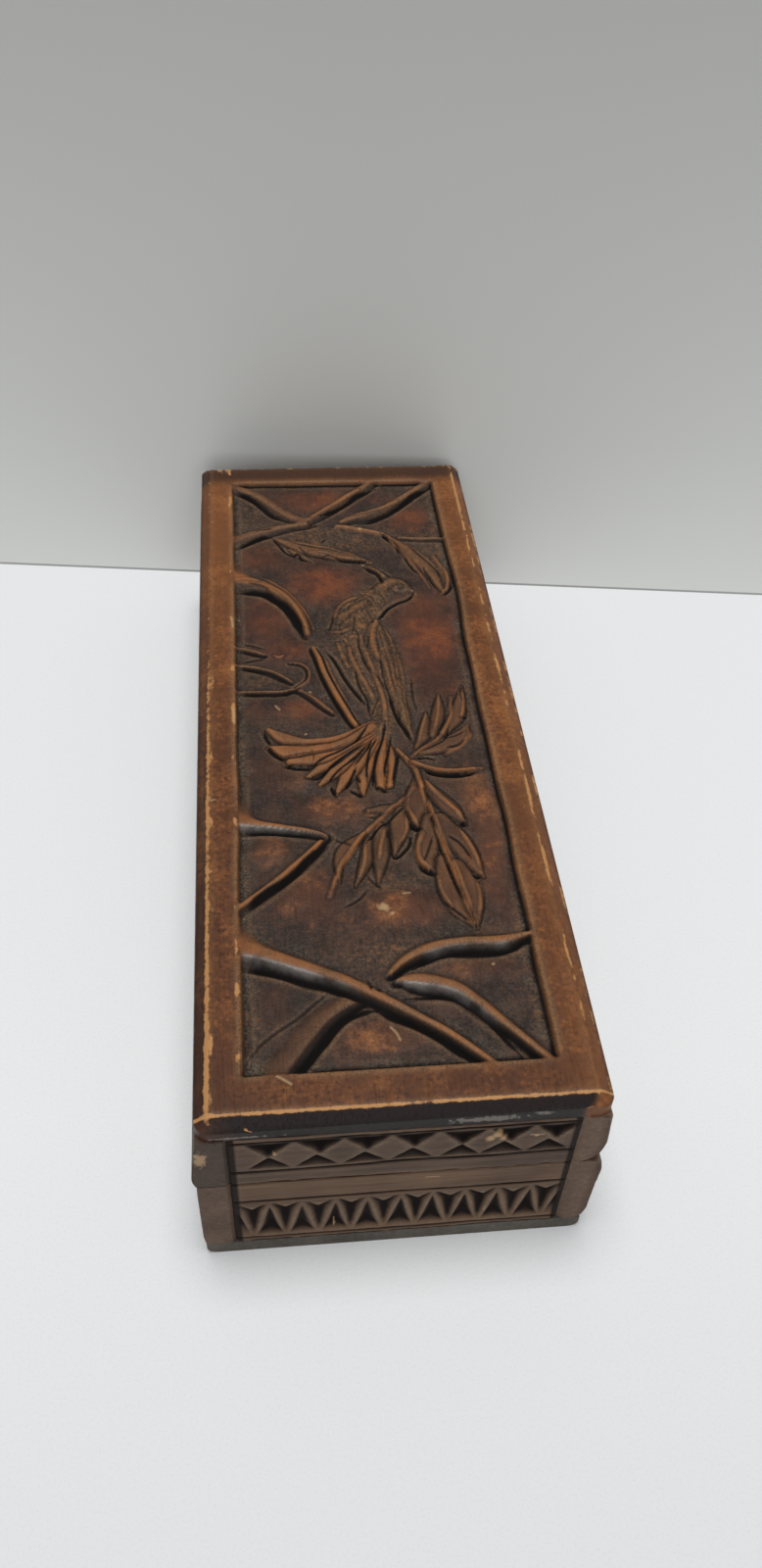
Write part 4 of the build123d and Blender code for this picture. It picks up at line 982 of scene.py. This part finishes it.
def carveLidBand(relief, height, upperChips, lowerChips, hand):
    # Two rows of triangular chips, point to point, each a little off by hand
    s = lidBand
    half, foot = s["halfWidth"], s["foot"]
    for centre in upperChips:
        a, b, c, d = hand.uniform(-s["upperStray"], s["upperStray"], 4)
        top, tall = height - s["head"] + a, s["upperHeight"] + b
        outline = [(centre - half + c, top), (centre + half + d, top + 0.3 * b),
                   (centre + 0.7 * a, top - tall)]
        low = (centre + d, top - (s["upperLow"] + 0.2 * c) * tall)
        chipOut(relief, outline, low, s["depth"] * (1 + 0.4 * a))
    half -= 0.4
    for centre in lowerChips:
        a, b, c, d = hand.uniform(-s["lowerStray"], s["lowerStray"], 4)
        tall = s["lowerHeight"] + b
        outline = [(centre - half + c, foot + 0.3 * a), (centre + half + d, foot), (centre + a, foot + tall)]
        low = (centre + c, foot + (s["lowerLow"] + 0.2 * d) * tall)
        chipOut(relief, outline, low, s["depth"] * (0.9 + 0.4 * b))


def carveBaseBand(relief, height, length, hand):
    # Zigzag teeth: notched chips hang from the top edge, triangles stand between their feet
    s = baseBand
    head, foot, half, ridge = height - s["head"], s["foot"], s["pitch"] / 2, s["ridge"]
    tall = head - foot
    centres = spreadOut(length, s["pitch"])
    lean = hand.uniform(-s["stray"], s["stray"], (len(centres) + 1, 3))
    for i, centre in enumerate(centres):
        (a, b, c), (d, e, f) = lean[i], lean[i + 1]
        outline = [
            (centre - half + ridge + a, head), (centre + b, head - s["toothDepth"] + c),
            (centre + half - ridge + d, head), (centre + ridge + e, foot), (centre - ridge + e, foot),
        ]
        low = (centre + 0.6 * f, head - (s["toothLow"] + 0.3 * c) * s["toothDepth"])
        chipOut(relief, outline, low, s["depth"] * (1 + 0.35 * b))
    for (a, b, c), centre in zip(lean[1:], centres[:-1]):
        middle, reach = centre + half, half - 2 * ridge
        outline = [(middle - reach, foot), (middle + reach, foot), (middle + a, head - 1.2 + 0.5 * b)]
        low = (middle + c, foot + (s["footLow"] + 0.1 * b) * tall)
        chipOut(relief, outline, low, s["depth"] * (1 + 0.3 * c))
    inwards, up, depth = s["endChip"]
    for sign, centre in ((-1, centres[0] - half), (1, centres[-1] + half)):
        outline = [(centre, foot), (centre - sign * (half - 2 * ridge), foot), (centre, head - 2)]
        chipOut(relief, outline, (centre - sign * inwards, foot + up * tall), depth)


def carveBand(relief, u, w, isLid, facing, seed):
    # Chips and scored lines, which stop short of the ends. Gives where the chips are darkened by depth, as
    # dirt and painted shade.
    s, band = bandBoard, lidBand if isLid else baseBand
    isEnd = facing in ("near", "far")
    length, height = 2 * u.max(), w.max()
    bandLength = length - 2 * s["endInset" if isEnd else "sideInset"]
    hand = np.random.default_rng(seed)
    if isLid:
        centres = spreadOut(bandLength, band["pitch"])
        shift = band["shift"] if isEnd else 0
        upper = lower = [c + hand.uniform(-0.5, 0.5) + shift for c in centres]
        if facing == "near":
            upper, lower = nearUpperChips, nearLowerChips
        carveLidBand(relief, height, upper, lower, hand)
    else:
        carveBaseBand(relief, height, bandLength, hand)
    inBand = unit((bandLength / 2 - np.abs(u)) / 0.5 + 1)
    for i, lineHeight in enumerate(band["lineHeights"]):
        at = lineHeight if lineHeight > 0 else height + lineHeight
        gap = np.abs(w - at - 0.25 * softNoise(u, 0 * w, (16, 9), seed + i))
        relief["h"] -= s["lineDepth"] * unit(1 - gap / 0.6) * inBand
        relief["paint"]["crease"] += unit(1.5 - gap / 0.4) * inBand
    gain, start = band["dirt"]
    return 0.8 * unit(gain * (-relief["h"] - start))


def wearBoard(relief, u, w, isEnd, seed):
    # Rounds the arrises over, raggedly, and makes the face uneven
    s, height = bandBoard, w.max()
    edge, endGap = height / 2 - np.abs(w - height / 2), u.max() - np.abs(u)
    ragged = np.clip(1 + 0.9 * softNoise(u, w, (3, 3), seed + 5), 0.3, 2)
    relief["h"] -= s["arris"] * ragged * unit(1 - edge / 0.7) ** 1.6
    if isEnd:
        relief["h"] -= np.clip(s["cornerGroove"] - endGap, 0, None)
    else:
        relief["h"] -= 0.8 * unit(1 - endGap / 0.9) ** 1.6
    relief["h"] += 0.07 * softNoise(u, w, (2.5, 1.4), seed + 7) + 0.16 * softNoise(u, w, (25, 8), seed + 8)
    relief["h"] = np.minimum(blurred(relief["h"], 0.16 / s["cell"]), 0)
    return endGap


def carveBoard(node, facing, seed):
    s = bandBoard
    low, high = (np.array(c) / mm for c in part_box(node))
    isLid, isEnd = node.startswith("lid"), facing in ("near", "far")
    axis = 0 if isEnd else 1
    along = np.zeros(3)
    along[axis] = 1 if facing in ("near", "front") else -1
    out = np.cross(along, (0, 0, 1))
    lidLow, lidHigh = (np.array(c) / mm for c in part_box("lid_board"))
    lidMiddle = (lidLow[0] + lidHigh[0]) / 2
    boardMiddle = np.array(((low[0] + high[0]) / 2 if isEnd else lidMiddle, 0, 0))
    length, height = (high - low)[axis], (high - low)[2]
    relief = newRelief(length, height, s["cell"])
    relief["y"] += height / 2
    u, w = np.meshgrid(relief["x"], relief["y"])
    z = low[2] + w

    chips = carveBand(relief, u, w, isLid, facing, seed)
    endGap = wearBoard(relief, u, w, isEnd, seed)
    masks = reliefMasks(relief)
    # Chips and creases darkened as dirt and as painted shade
    masks["crease"] = unit(masks["crease"] + chips) * (1 - 0.6 * masks["crest"])
    if isEnd:
        masks["crease"] = np.maximum(masks["crease"], np.clip(3.2 - endGap / 0.7, 0, 0.95))
    masks["worn"] = unit(0.3 * masks["crest"] * softNoise(u, w, (6, 3), seed + 9))
    masks["pale"] = markPale(u + boardMiddle[0] - lidMiddle, z, *boardKnocks.get(node, ([], [])))

    outer, inner = s["endFaces"]
    if not isEnd:
        outer, inner = np.interp(z, *zip(*sideProfiles[node])), s["sideInside"]
    spot = boardMiddle + (0, 0, 1) * z[..., None]
    front = spot + along * u[..., None] + out * (outer + relief["h"])[..., None]
    loops = ringsTowards(front, s["backRings"], lambda rim: (
        rim + out * (inner - (rim - boardMiddle) @ out)[:, None]))
    if not isEnd:
        most = s["endFaces"][0] - s["cornerGroove"]
        loops[-1][:, 1] = np.clip(loops[-1][:, 1], -most, most)
    allMasks = spreadMasks(masks, front, loops)
    first, *words = node.split("_")
    name = first + "".join(word.capitalize() for word in words) + "Carved"
    piece = reliefMesh(name, front, loops, allMasks)
    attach(piece, "lid" if isLid else "base")
    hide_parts(node)
    return piece


boards = [
    carveBoard(node, facing, seed) for node, facing, seed in (
        ("lid_near_end", "near", 101), ("base_near_end", "near", 113),
        ("lid_far_end", "far", 127), ("base_far_end", "far", 139),
        ("lid_front_side", "front", 151), ("base_front_side", "front", 163),
    )
]
print("bands carved")


# Materials

def srgb(red, green, blue):
    # A colour as read off the photograph, 0 to 255
    return tuple(
        c / 12.92 if c <= 0.04045 else ((c + 0.055) / 1.055) ** 2.4
        for c in (red / 255, green / 255, blue / 255)
    ) + (1,)


def setInputs(tree, node, values):
    # Values that are sockets are linked, and the others are set on the node's own sockets
    for key, value in values.items():
        if isinstance(value, bpy.types.NodeSocket):
            tree.links.new(value, node.inputs[key])
        else:
            node.inputs[key].default_value = value


def addNode(tree, kind, values=None, **settings):
    new = tree.nodes.new("ShaderNode" + kind)
    for key, value in settings.items():
        setattr(new, key, value)
    setInputs(tree, new, values or {})
    return new


def newGroup(name, inputs, outputs):
    tree = bpy.data.node_groups.new(name, "ShaderNodeTree")
    for label, kind, value in inputs:
        socket = tree.interface.new_socket(label, in_out="INPUT", socket_type="NodeSocket" + kind)
        if value is not None:
            socket.default_value = value
    for label, kind in outputs:
        tree.interface.new_socket(label, in_out="OUTPUT", socket_type="NodeSocket" + kind)
    return tree, tree.nodes.new("NodeGroupInput").outputs, tree.nodes.new("NodeGroupOutput")


def calc(tree, operation, first, *others, clamp=False):
    # One sum or product after another, of which only the last is clamped
    for i, other in enumerate(others, 1):
        node = addNode(tree, "Math", {0: first, 1: other}, operation=operation,
                       use_clamp=clamp and i == len(others))
        first = node.outputs[0]
    return first


def times(tree, *values):
    return calc(tree, "MULTIPLY", *values)


def plus(tree, *values, clamp=False):
    return calc(tree, "ADD", *values, clamp=clamp)


def minus(tree, a, b):
    return calc(tree, "SUBTRACT", a, b)


def vector(tree, operation, values, output="Vector"):
    return addNode(tree, "VectorMath", values, operation=operation).outputs[output]


def noise(tree, place, scale, detail, roughness):
    values = {"Vector": place, "Scale": scale, "Detail": detail, "Roughness": roughness}
    return addNode(tree, "TexNoise", values).outputs["Fac"]


def rescale(tree, value, fromLow, fromHigh, toLow=0.0, toHigh=1.0):
    return addNode(tree, "MapRange", {
        "Value": value, "From Min": fromLow, "From Max": fromHigh,
        "To Min": toLow, "To Max": toHigh,
    }).outputs[0]


def mixColour(tree, share, a, b):
    return addNode(tree, "Mix", {0: share, 6: a, 7: b}, data_type="RGBA").outputs[2]


def layered(tree, colour, layers):
    # Colours laid over one another, as (how strongly, colour)
    for share, over in layers:
        colour = mixColour(tree, share, colour, over)
    return colour


def placeOf(tree):
    return addNode(tree, "TexCoord").outputs["Object"]


def axes(tree, value):
    return addNode(tree, "SeparateXYZ", {0: value}).outputs


def readMasks(tree, *names):
    return {name: addNode(tree, "Attribute", attribute_name=name).outputs["Fac"] for name in names}


def makeGrainGroup():
    # Wood grain. Stretch squeezes the pattern along the grain, so the grain runs on the
    # axis with the small value.
    tree, given, result = newGroup("woodGrain", [
        ("Stretch", "Vector", (1, 0.05, 1)), ("Dark", "Color", None), ("Light", "Color", None),
        ("Streaks", "Float", 1.0),
    ], [("Color", "Color"), ("Pores", "Float"), ("Streak", "Float")])
    place = placeOf(tree)
    stretched = vector(tree, "MULTIPLY", {0: place, 1: given["Stretch"]})
    broad = noise(tree, stretched, 90, 4, 0.6)
    fine = noise(tree, stretched, 700, 3, 0.6)
    pores = noise(tree, stretched, 1900, 2, 0.5)
    blotch = rescale(tree, noise(tree, place, 32, 3, 0.6), 0.3, 0.7, 0.2, 0.8)
    streak = plus(tree, times(tree, broad, 0.5), times(tree, fine, 0.5))
    streak = rescale(tree, streak, 0.36, 0.64)
    tone = plus(tree, times(tree, minus(tree, streak, 0.5), given["Streaks"]), blotch, clamp=True)
    setInputs(tree, result, {
        "Color": mixColour(tree, tone, given["Dark"], given["Light"]),
        "Pores": rescale(tree, pores, 0.56, 0.7), "Streak": streak,
    })
    return tree


def makeAgeGroup():
    # Dirt and painted shade in the creases, dust in the hollows, rubbed crests, painted glints, worn edges
    # and pale knocks, laid over a wood colour
    # A grey-white painted highlight for the glint, and bare wood for the knocks
    glintPaint, bareWood = srgb(168, 163, 158), srgb(186, 152, 112)
    colours = ("Color", "Dirt", "Dust", "Rubbed", "Crest", "Worn")
    amounts = ("Dirt Amount", "Dust Amount", "Rubbed Amount", "Roughness")
    tree, given, result = newGroup("agedSurface", [
        *((name, "Color", None) for name in colours), *((name, "Float", 0.5) for name in amounts),
    ], [("Color", "Color"), ("Roughness", "Float")])
    masks = readMasks(tree, "crease", "hollow", "crest", "rubbed", "worn", "pale", "shine")
    place = placeOf(tree)
    patches = rescale(tree, noise(tree, place, 110, 4, 0.65), 0.38, 0.6)
    specks = noise(tree, place, 1500, 2, 0.6)
    chips = minus(tree, noise(tree, place, 520, 4, 0.7), 0.5)
    chipped = rescale(tree, plus(tree, masks["worn"], times(tree, chips, 1.5)), 0.3, 0.6)
    colour = layered(tree, given["Color"], [
        (times(tree, masks["hollow"], patches, given["Dust Amount"]),
         mixColour(tree, rescale(tree, specks, 0.42, 0.6), given["Color"], given["Dust"])),
        (times(tree, masks["crest"], given["Rubbed Amount"], rescale(tree, specks, 0.35, 0.6, 0.3, 1)),
         given["Crest"]),
        (times(tree, masks["rubbed"], rescale(tree, patches, 0, 1, 0.25, 0.9)), given["Rubbed"]),
        # Creases darkened as dirt and as painted shade
        (times(tree, masks["crease"], given["Dirt Amount"]), given["Dirt"]),
        # The painted glint, a painted highlight on branch slopes
        (times(tree, masks["shine"], rescale(tree, patches, 0, 1, 0.15, 0.9)), glintPaint),
        (times(tree, chipped, rescale(tree, masks["worn"], 0.03, 0.15)), given["Worn"]),
        (times(tree, masks["pale"], 0.8), bareWood),
    ])
    rough = plus(tree, given["Roughness"], times(tree, masks["hollow"], 0.25),
                 times(tree, masks["crease"], 0.3), clamp=True)
    setInputs(tree, result, {"Color": colour, "Roughness": rough})
    return tree


grainGroup, ageGroup = makeGrainGroup(), makeAgeGroup()


def newMaterial(name, values):
    # A material whose shader has the given values
    material = bpy.data.materials.new(name)
    material.use_nodes = True
    tree = material.node_tree
    shader = tree.nodes["Principled BSDF"]
    setInputs(tree, shader, values)
    return material, tree, shader


def addBump(tree, shader, height, strength, distance):
    bump = addNode(tree, "Bump", {"Height": height, "Strength": strength, "Distance": distance})
    tree.links.new(bump.outputs["Normal"], shader.inputs["Normal"])


def knockMask(tree, middle, size):
    # A ragged patch at a place on the piece, of which the half sizes are given, in mm
    place = placeOf(tree)
    offset = vector(tree, "SUBTRACT", {0: place, 1: [v * mm for v in middle]})
    scaled = vector(tree, "MULTIPLY", {0: offset, 1: [1 / (v * mm) for v in size]})
    away = vector(tree, "LENGTH", {0: scaled}, "Value")
    ragged = plus(tree, away, times(tree, noise(tree, place, 640, 4, 0.7), 2.4))
    return rescale(tree, ragged, 2.0, 1.8, 0, 0.75)


def grainOf(tree, look):
    # The grain's outputs, and the height of its streaks and pores
    values = {key: look[key.lower()] for key in ("Stretch", "Dark", "Light", "Streaks")}
    grain = addNode(tree, "Group", values, node_tree=grainGroup).outputs
    return grain["Color"], minus(tree, times(tree, grain["Streak"], 0.5), grain["Pores"])


def finishWood(tree, shader, look, colour, height):
    # Ages a wood's colour, and links it, its roughness and its bump to the shader
    keys = {
        "Dirt": "dirt", "Dust": "dust", "Rubbed": "rubbed", "Crest": "crest", "Worn": "worn",
        "Dirt Amount": "dirtAndShadeAmount", "Dust Amount": "dustAmount",
        "Rubbed Amount": "rubbedAmount", "Roughness": "roughness",
    }
    values = {"Color": colour, **{key: look[name] for key, name in keys.items()}}
    aged = addNode(tree, "Group", values, node_tree=ageGroup).outputs
    knocks = [(knockMask(tree, *knock), look["worn"]) for knock in look["knocks"]]
    setInputs(tree, shader, {
        "Base Color": layered(tree, aged["Color"], knocks), "Roughness": aged["Roughness"],
    })
    addBump(tree, shader, height, *look["bump"])


def makeWood(name, look):
    material, tree, shader = newMaterial(name, {"Specular IOR Level": look["specular"]})
    finishWood(tree, shader, look, *grainOf(tree, look))
    return material


endWood = {
    "stretch": (0.05, 1, 1), "dark": srgb(61, 46, 37), "light": srgb(98, 78, 63), "streaks": 0.7,
    # The creases' dark colour stands for dirt and for painted shade
    "dirt": srgb(27, 21, 19), "dust": srgb(104, 94, 82), "rubbed": srgb(132, 112, 92),
    "crest": srgb(132, 112, 92), "worn": srgb(176, 146, 112),
    "dirtAndShadeAmount": 1.0, "dustAmount": 0.6, "rubbedAmount": 0.65,
    "roughness": 0.6, "specular": 0.2,
    "bump": (0.5, 0.00012),  # strength, and depth in m
    "knocks": [],  # bare patches, as (middle, half sizes) in mm
}
sideWood = {**endWood, "stretch": (1, 0.05, 1), "dark": srgb(72, 55, 44), "light": srgb(112, 90, 74)}
woods = {
    "endWood": endWood,
    "baseEndWood": {**endWood, "dark": srgb(74, 54, 40), "light": srgb(114, 88, 67)},
    "sideWood": sideWood,
    "frontWood": {**sideWood, "dark": srgb(80, 62, 50), "light": srgb(122, 99, 82)},
    "lidBackWood": {
        **sideWood, "dark": srgb(50, 38, 32), "light": srgb(84, 68, 57),
        "knocks": [((-48.9, -142.9, 50.2), (2.2, 2, 4.6))],
    },
    "bottomWood": {
        **sideWood, "dark": srgb(64, 59, 53), "light": srgb(98, 93, 86), "roughness": 0.75,
    },
}
lidWood = {
    **sideWood, "dark": srgb(90, 53, 31), "light": srgb(128, 80, 46), "streaks": 0.5,
    "field": {
        "stretch": (1, 0.09, 1), "dark": srgb(62, 43, 34), "light": srgb(98, 66, 46), "streaks": 0.6,
    },
    "inside": {
        "stretch": (1, 0.05, 1), "dark": srgb(92, 72, 56), "light": srgb(134, 110, 86),
        "streaks": 0.8,
    },
    # The far border's darker colour is painted shade, where the wall stands close
    "borderDark": srgb(70, 42, 28), "borderGold": srgb(150, 95, 52), "farBorderShade": srgb(54, 36, 28),
    "ground": srgb(45, 36, 32), "groundLight": srgb(77, 56, 45),
    "polished": srgb(108, 64, 42), "polishedLight": srgb(168, 110, 62),
    "polishedRed": srgb(100, 54, 36), "polishedRedLight": srgb(144, 82, 46),
    "plumeDark": srgb(48, 39, 33), "plume": srgb(78, 62, 48), "plumeGold": srgb(142, 96, 58),
    # The creases' near-black stands for dirt and for painted shade
    "dirt": srgb(16, 11, 10), "dust": srgb(112, 104, 88), "rubbed": srgb(162, 102, 56),
    # The bevel colour is dark stain deepened as painted shade
    "crest": srgb(152, 118, 84), "worn": srgb(184, 134, 84), "bevel": srgb(28, 19, 17),
    "dustAmount": 0.9, "rubbedAmount": 0.55, "roughness": 0.5, "specular": 0.22,
    "bump": (0.6, 0.00015), "pits": 2.2, "smear": srgb(124, 118, 110),
    # Grey smears on the near edge, as (middle, half sizes) in mm
    "smears": [
        ((19, -142.6, 59.9), (12, 2, 1.4)), ((33, -142.2, 61), (3, 2, 1)),
        ((-39, -142.8, 58.8), (12, 1, 0.6)),
    ],
}


def fieldColour(tree, look, masks, noises, x, y):
    # Darker than the border, polished in patches that are redder in the far half, with dust
    # on the bird and the low leaves
    mottle, spots, fine = (noises[key] for key in ("mottle", "spots", "fine"))
    farHalf = rescale(tree, y, -0.03, 0.01)
    uneven = plus(tree, rescale(tree, mottle, 0.4, 0.6), rescale(tree, fine, 0.35, 0.65, -0.5, 0.5))
    polish = times(tree, masks["polish"], rescale(tree, mottle, 0.42, 0.56, 0.5, 1))
    glow = times(tree, polish, rescale(tree, mottle, 0.49, 0.6),
                 rescale(tree, fine, 0.4, 0.6, 0.4, 1.2), rescale(tree, farHalf, 0, 1, 1, 0.5))
    plume = layered(tree, look["plumeDark"], [
        (rescale(tree, fine, 0.38, 0.52), look["plume"]),
        (rescale(tree, fine, 0.56, 0.64, 0, 0.8), look["plumeGold"]),
        (rescale(tree, spots, 0.55, 0.66, 0, 0.7), look["plumeGold"]),
    ])
    return layered(tree, grainOf(tree, look["field"])[0], [
        (rescale(tree, masks["depth"], 0.3, 0.62),
         mixColour(tree, uneven, look["ground"], look["groundLight"])),
        (polish, mixColour(tree, farHalf, look["polished"], look["polishedRed"])),
        (glow, mixColour(tree, farHalf, look["polishedLight"], look["polishedRedLight"])),
        (times(tree, masks["plume"], rescale(tree, spots, 0.35, 0.5, 0.55, 1)), plume),
        (rescale(tree, x, -0.008, -0.034, 0, 0.3), look["ground"]),
    ])


def borderColour(tree, look, noises, x, y, grain):
    # Painted shade darkens it towards the near left and painted light makes it golden at the right edge; it
    # is golden towards the far left too
    mottle, broad, dashes = (noises[key] for key in ("mottle", "broad", "dashes"))
    dark, gold = look["borderDark"], look["borderGold"]
    return layered(tree, grain, [
        (rescale(tree, mottle, 0.46, 0.6, 0, 0.6), dark),
        (rescale(tree, mottle, 0.5, 0.38, 0, 0.6), gold),
        (times(tree, rescale(tree, dashes, 0.56, 0.64), rescale(tree, broad, 0.6, 0.42), 0.7),
         look["rubbed"]),
        (rescale(tree, dashes, 0.46, 0.36, 0, 0.8), dark),
        # Painted shade towards the near left
        (rescale(tree, plus(tree, times(tree, x, 0.6), y), -0.16, 0.02, 0.42, 0.05), dark),
        (rescale(tree, minus(tree, y, x), 0.02, 0.14, 0, 0.4), gold),
        # Painted light at the right edge
        (rescale(tree, x, 0.037, 0.047, 0, 0.27), gold),
    ])


def makeLidWood(name, look):
    # The border as the other boards, the field with its own colours, and the underside plain
    material, tree, shader = newMaterial(name, {"Specular IOR Level": look["specular"]})
    masks = readMasks(tree, "depth", "field", "edge", "polish", "plume")
    place = placeOf(tree)
    x, y, _ = axes(tree, place)
    noises = {
        key: noise(tree, place, *kind) for key, kind in {
            "broad": (70, 5, 0.65), "spots": (330, 4, 0.7), "fine": (1000, 3, 0.7),
            "dashes": (800, 3, 0.65), "pits": (1300, 3, 0.6),
        }.items()
    }
    noises["mottle"] = plus(
        tree, times(tree, noises["broad"], 0.66), times(tree, noises["spots"], 0.34))
    grain, height = grainOf(tree, look)
    # Painted shade along the far border
    farEdgeShade = times(tree, rescale(tree, y, 0.127, 0.133), minus(tree, 1.0, masks["field"]), 0.85)
    facing = axes(tree, addNode(tree, "TexCoord").outputs["Normal"])[2]
    colour = layered(tree, borderColour(tree, look, noises, x, y, grain), [
        (masks["field"], fieldColour(tree, look, masks, noises, x, y)),
        # Painted shade on the far border, and the bevels' stain deepened as painted shade
        (farEdgeShade, look["farBorderShade"]), (masks["edge"], look["bevel"]),
        *((knockMask(tree, *smear), look["smear"]) for smear in look["smears"]),
        (rescale(tree, facing, -0.6, -0.9), grainOf(tree, look["inside"])[0]),
    ])
    pits = times(tree, noises["pits"], look["pits"], masks["field"])
    finishWood(tree, shader, look, colour, plus(tree, height, pits))
    return material


def makeMetal(name, look):
    material, tree, shader = newMaterial(name, {"Metallic": look["metallic"]})
    place = placeOf(tree)
    tarnish = rescale(tree, noise(tree, place, 420, 4, 0.65), 0.38, 0.66)
    setInputs(tree, shader, {
        "Base Color": mixColour(tree, tarnish, look["bright"], look["dull"]),
        "Roughness": rescale(tree, tarnish, 0, 1, *look["roughness"]),
    })
    addBump(tree, shader, noise(tree, place, 2600, 3, 0.6), 0.3, 0.00005)
    return material


metals = {
    "agedBrass": {"bright": srgb(182, 146, 84), "dull": srgb(96, 74, 42),
                  "roughness": (0.32, 0.6), "metallic": 1.0},
    "pinSteel": {"bright": srgb(150, 148, 145), "dull": srgb(92, 84, 78),
                 "roughness": (0.3, 0.55), "metallic": 1.0},
    "bradIron": {"bright": srgb(70, 62, 58), "dull": srgb(44, 34, 29),
                 "roughness": (0.5, 0.8), "metallic": 0.8},
}
finishes = {
    **{name: makeMetal(name, look) for name, look in metals.items()},
    **{name: makeWood(name, look) for name, look in woods.items()},
    "lidWood": makeLidWood("carvedWalnut", lidWood),
}
# The first word that a piece's name holds says its finish
finishWords = {
    "lid_board": "lidWood", "LidBoard": "lidWood", "pin": "pinSteel", "screws": "agedBrass",
    "leaf": "agedBrass", "brads": "bradIron", "bottom_board": "bottomWood",
    "baseNear": "baseEndWood", "baseFar": "baseEndWood", "end": "endWood", "End": "endWood",
    "Front": "frontWood", "lid_back_side": "lidBackWood",
}


def dress(piece, name):
    finish = next((finishes[f] for word, f in finishWords.items() if word in name), finishes["sideWood"])
    if not piece.material_slots:
        piece.data.materials.append(finish)
    for slot in piece.material_slots:
        slot.material = finish


for name, node in nodes.items():
    dress(node, name)
for piece in [*boards, lidPiece]:
    dress(piece, piece.name)
print("materials made")


# Table, wall and light

room = {
    "tableSize": 6.0,
    "tableShadeColours": (srgb(213, 214, 216), srgb(240, 242, 243)),  # painted shade, darker near the front where the light falls off: near and far
    "tableShadeFade": (-0.38, -0.1),  # the depths between which the painted shade lifts, in m
    "tableSpeckle": srgb(188, 190, 192),
    "wallEnds": ((-141.025, 171.6), (189.175, 133.7)),  # two places on its foot, x and y in mm
    "wallHeight": 1.6,
    "wallShadeColours": (srgb(232, 233, 230), srgb(134, 135, 132)),  # painted shade, darker higher up: low and high
    "wallShadeFade": (0.0, 0.5),  # the heights between which the painted shade deepens, in m
    # Painted shade in the corner at the wall's foot
    "wallFootShade": srgb(96, 96, 95),
    "sky": 0.2,
    "background": 0.74,
}
# (name, kind, place in m, size, strength); each shines at the box's middle
lamps = [
    ("overhead", "SUN", (-0.03, 0.06, 1.5), 0.5, 2.0),
    ("frontFill", "AREA", (-0.05, -2.2, 1.0), 1.0, 14.5),
]


def flatSheet(name, corners, material):
    mesh = bpy.data.meshes.new(name)
    mesh.from_pydata([Vector(c) for c in corners], [], [(0, 1, 2, 3)])
    mesh.materials.append(material)
    sheet = bpy.data.objects.new(name, mesh)
    bpy.context.scene.collection.objects.link(sheet)


def makeTable():
    half = room["tableSize"] / 2
    material, tree, shader = newMaterial("paleTable", {"Roughness": 0.8, "Specular IOR Level": 0.2})
    place = placeOf(tree)
    # Painted shade: the table darker towards the front
    fade = rescale(tree, axes(tree, place)[1], *room["tableShadeFade"])
    grain = noise(tree, place, 1400, 2, 0.6)
    colour = mixColour(tree, rescale(tree, grain, 0.5, 0.72, 0, 0.14),
                       mixColour(tree, fade, *room["tableShadeColours"]), room["tableSpeckle"])
    tree.links.new(colour, shader.inputs["Base Color"])
    addBump(tree, shader, grain, 0.25, 0.0001)
    flatSheet("table", [(-half, -half, 0), (half, -half, 0), (half, half, 0), (-half, half, 0)], material)


def makeWall():
    # Seen from the front only, so that it hides nothing from behind and throws no shade
    a, b = (Vector((*p, 0)) * mm for p in room["wallEnds"])
    middle, run = (a + b) / 2, (b - a).normalized() * room["tableSize"] / 2
    up = Vector((0, 0, room["wallHeight"]))
    material, tree, shader = newMaterial("paleWall", {"Roughness": 0.9})
    height = axes(tree, placeOf(tree))[2]
    # Painted shade: darker higher up, and a dark line at the foot
    fade = rescale(tree, height, *room["wallShadeFade"])
    foot = rescale(tree, height, 0.0008, 0.0012, 0.6, 0)
    colour = mixColour(tree, foot, mixColour(tree, fade, *room["wallShadeColours"]), room["wallFootShade"])
    tree.links.new(colour, shader.inputs["Base Color"])
    seen = addNode(tree, "LightPath").outputs["Is Camera Ray"]
    behind = addNode(tree, "NewGeometry").outputs["Backfacing"]
    share = times(tree, seen, minus(tree, 1.0, behind))
    clear = addNode(tree, "BsdfTransparent").outputs[0]
    blend = addNode(tree, "MixShader", {0: share, 1: clear, 2: shader.outputs[0]}).outputs[0]
    tree.links.new(blend, tree.nodes["Material Output"].inputs["Surface"])
    flatSheet("wall", [middle - run, middle + run, middle + run + up, middle - run + up], material)


def makeSky():
    # Softer on the box than where the camera sees it as the background
    world = bpy.data.worlds.new("softLight")
    bpy.context.scene.world = world
    world.use_nodes = True
    tree = world.node_tree
    seen = addNode(tree, "LightPath").outputs["Is Camera Ray"]
    setInputs(tree, tree.nodes["Background"], {
        "Color": (1, 1, 1, 1), "Strength": rescale(tree, seen, 0, 1, room["sky"], room["background"]),
    })


def makeLamps():
    for name, kind, place, size, strength in lamps:
        light = bpy.data.lights.new(name, kind)
        light.energy = strength
        if kind == "SUN":
            light.angle = size
        else:
            light.shape, light.size = "SQUARE", size
        lamp = bpy.data.objects.new(name, light)
        bpy.context.scene.collection.objects.link(lamp)
        lamp.location = place
        lamp.rotation_euler = (-Vector(place)).to_track_quat("-Z", "Y").to_euler()


makeTable()
makeWall()
makeSky()
makeLamps()
bpy.context.scene.view_settings.view_transform = "Standard"
print("room lit")
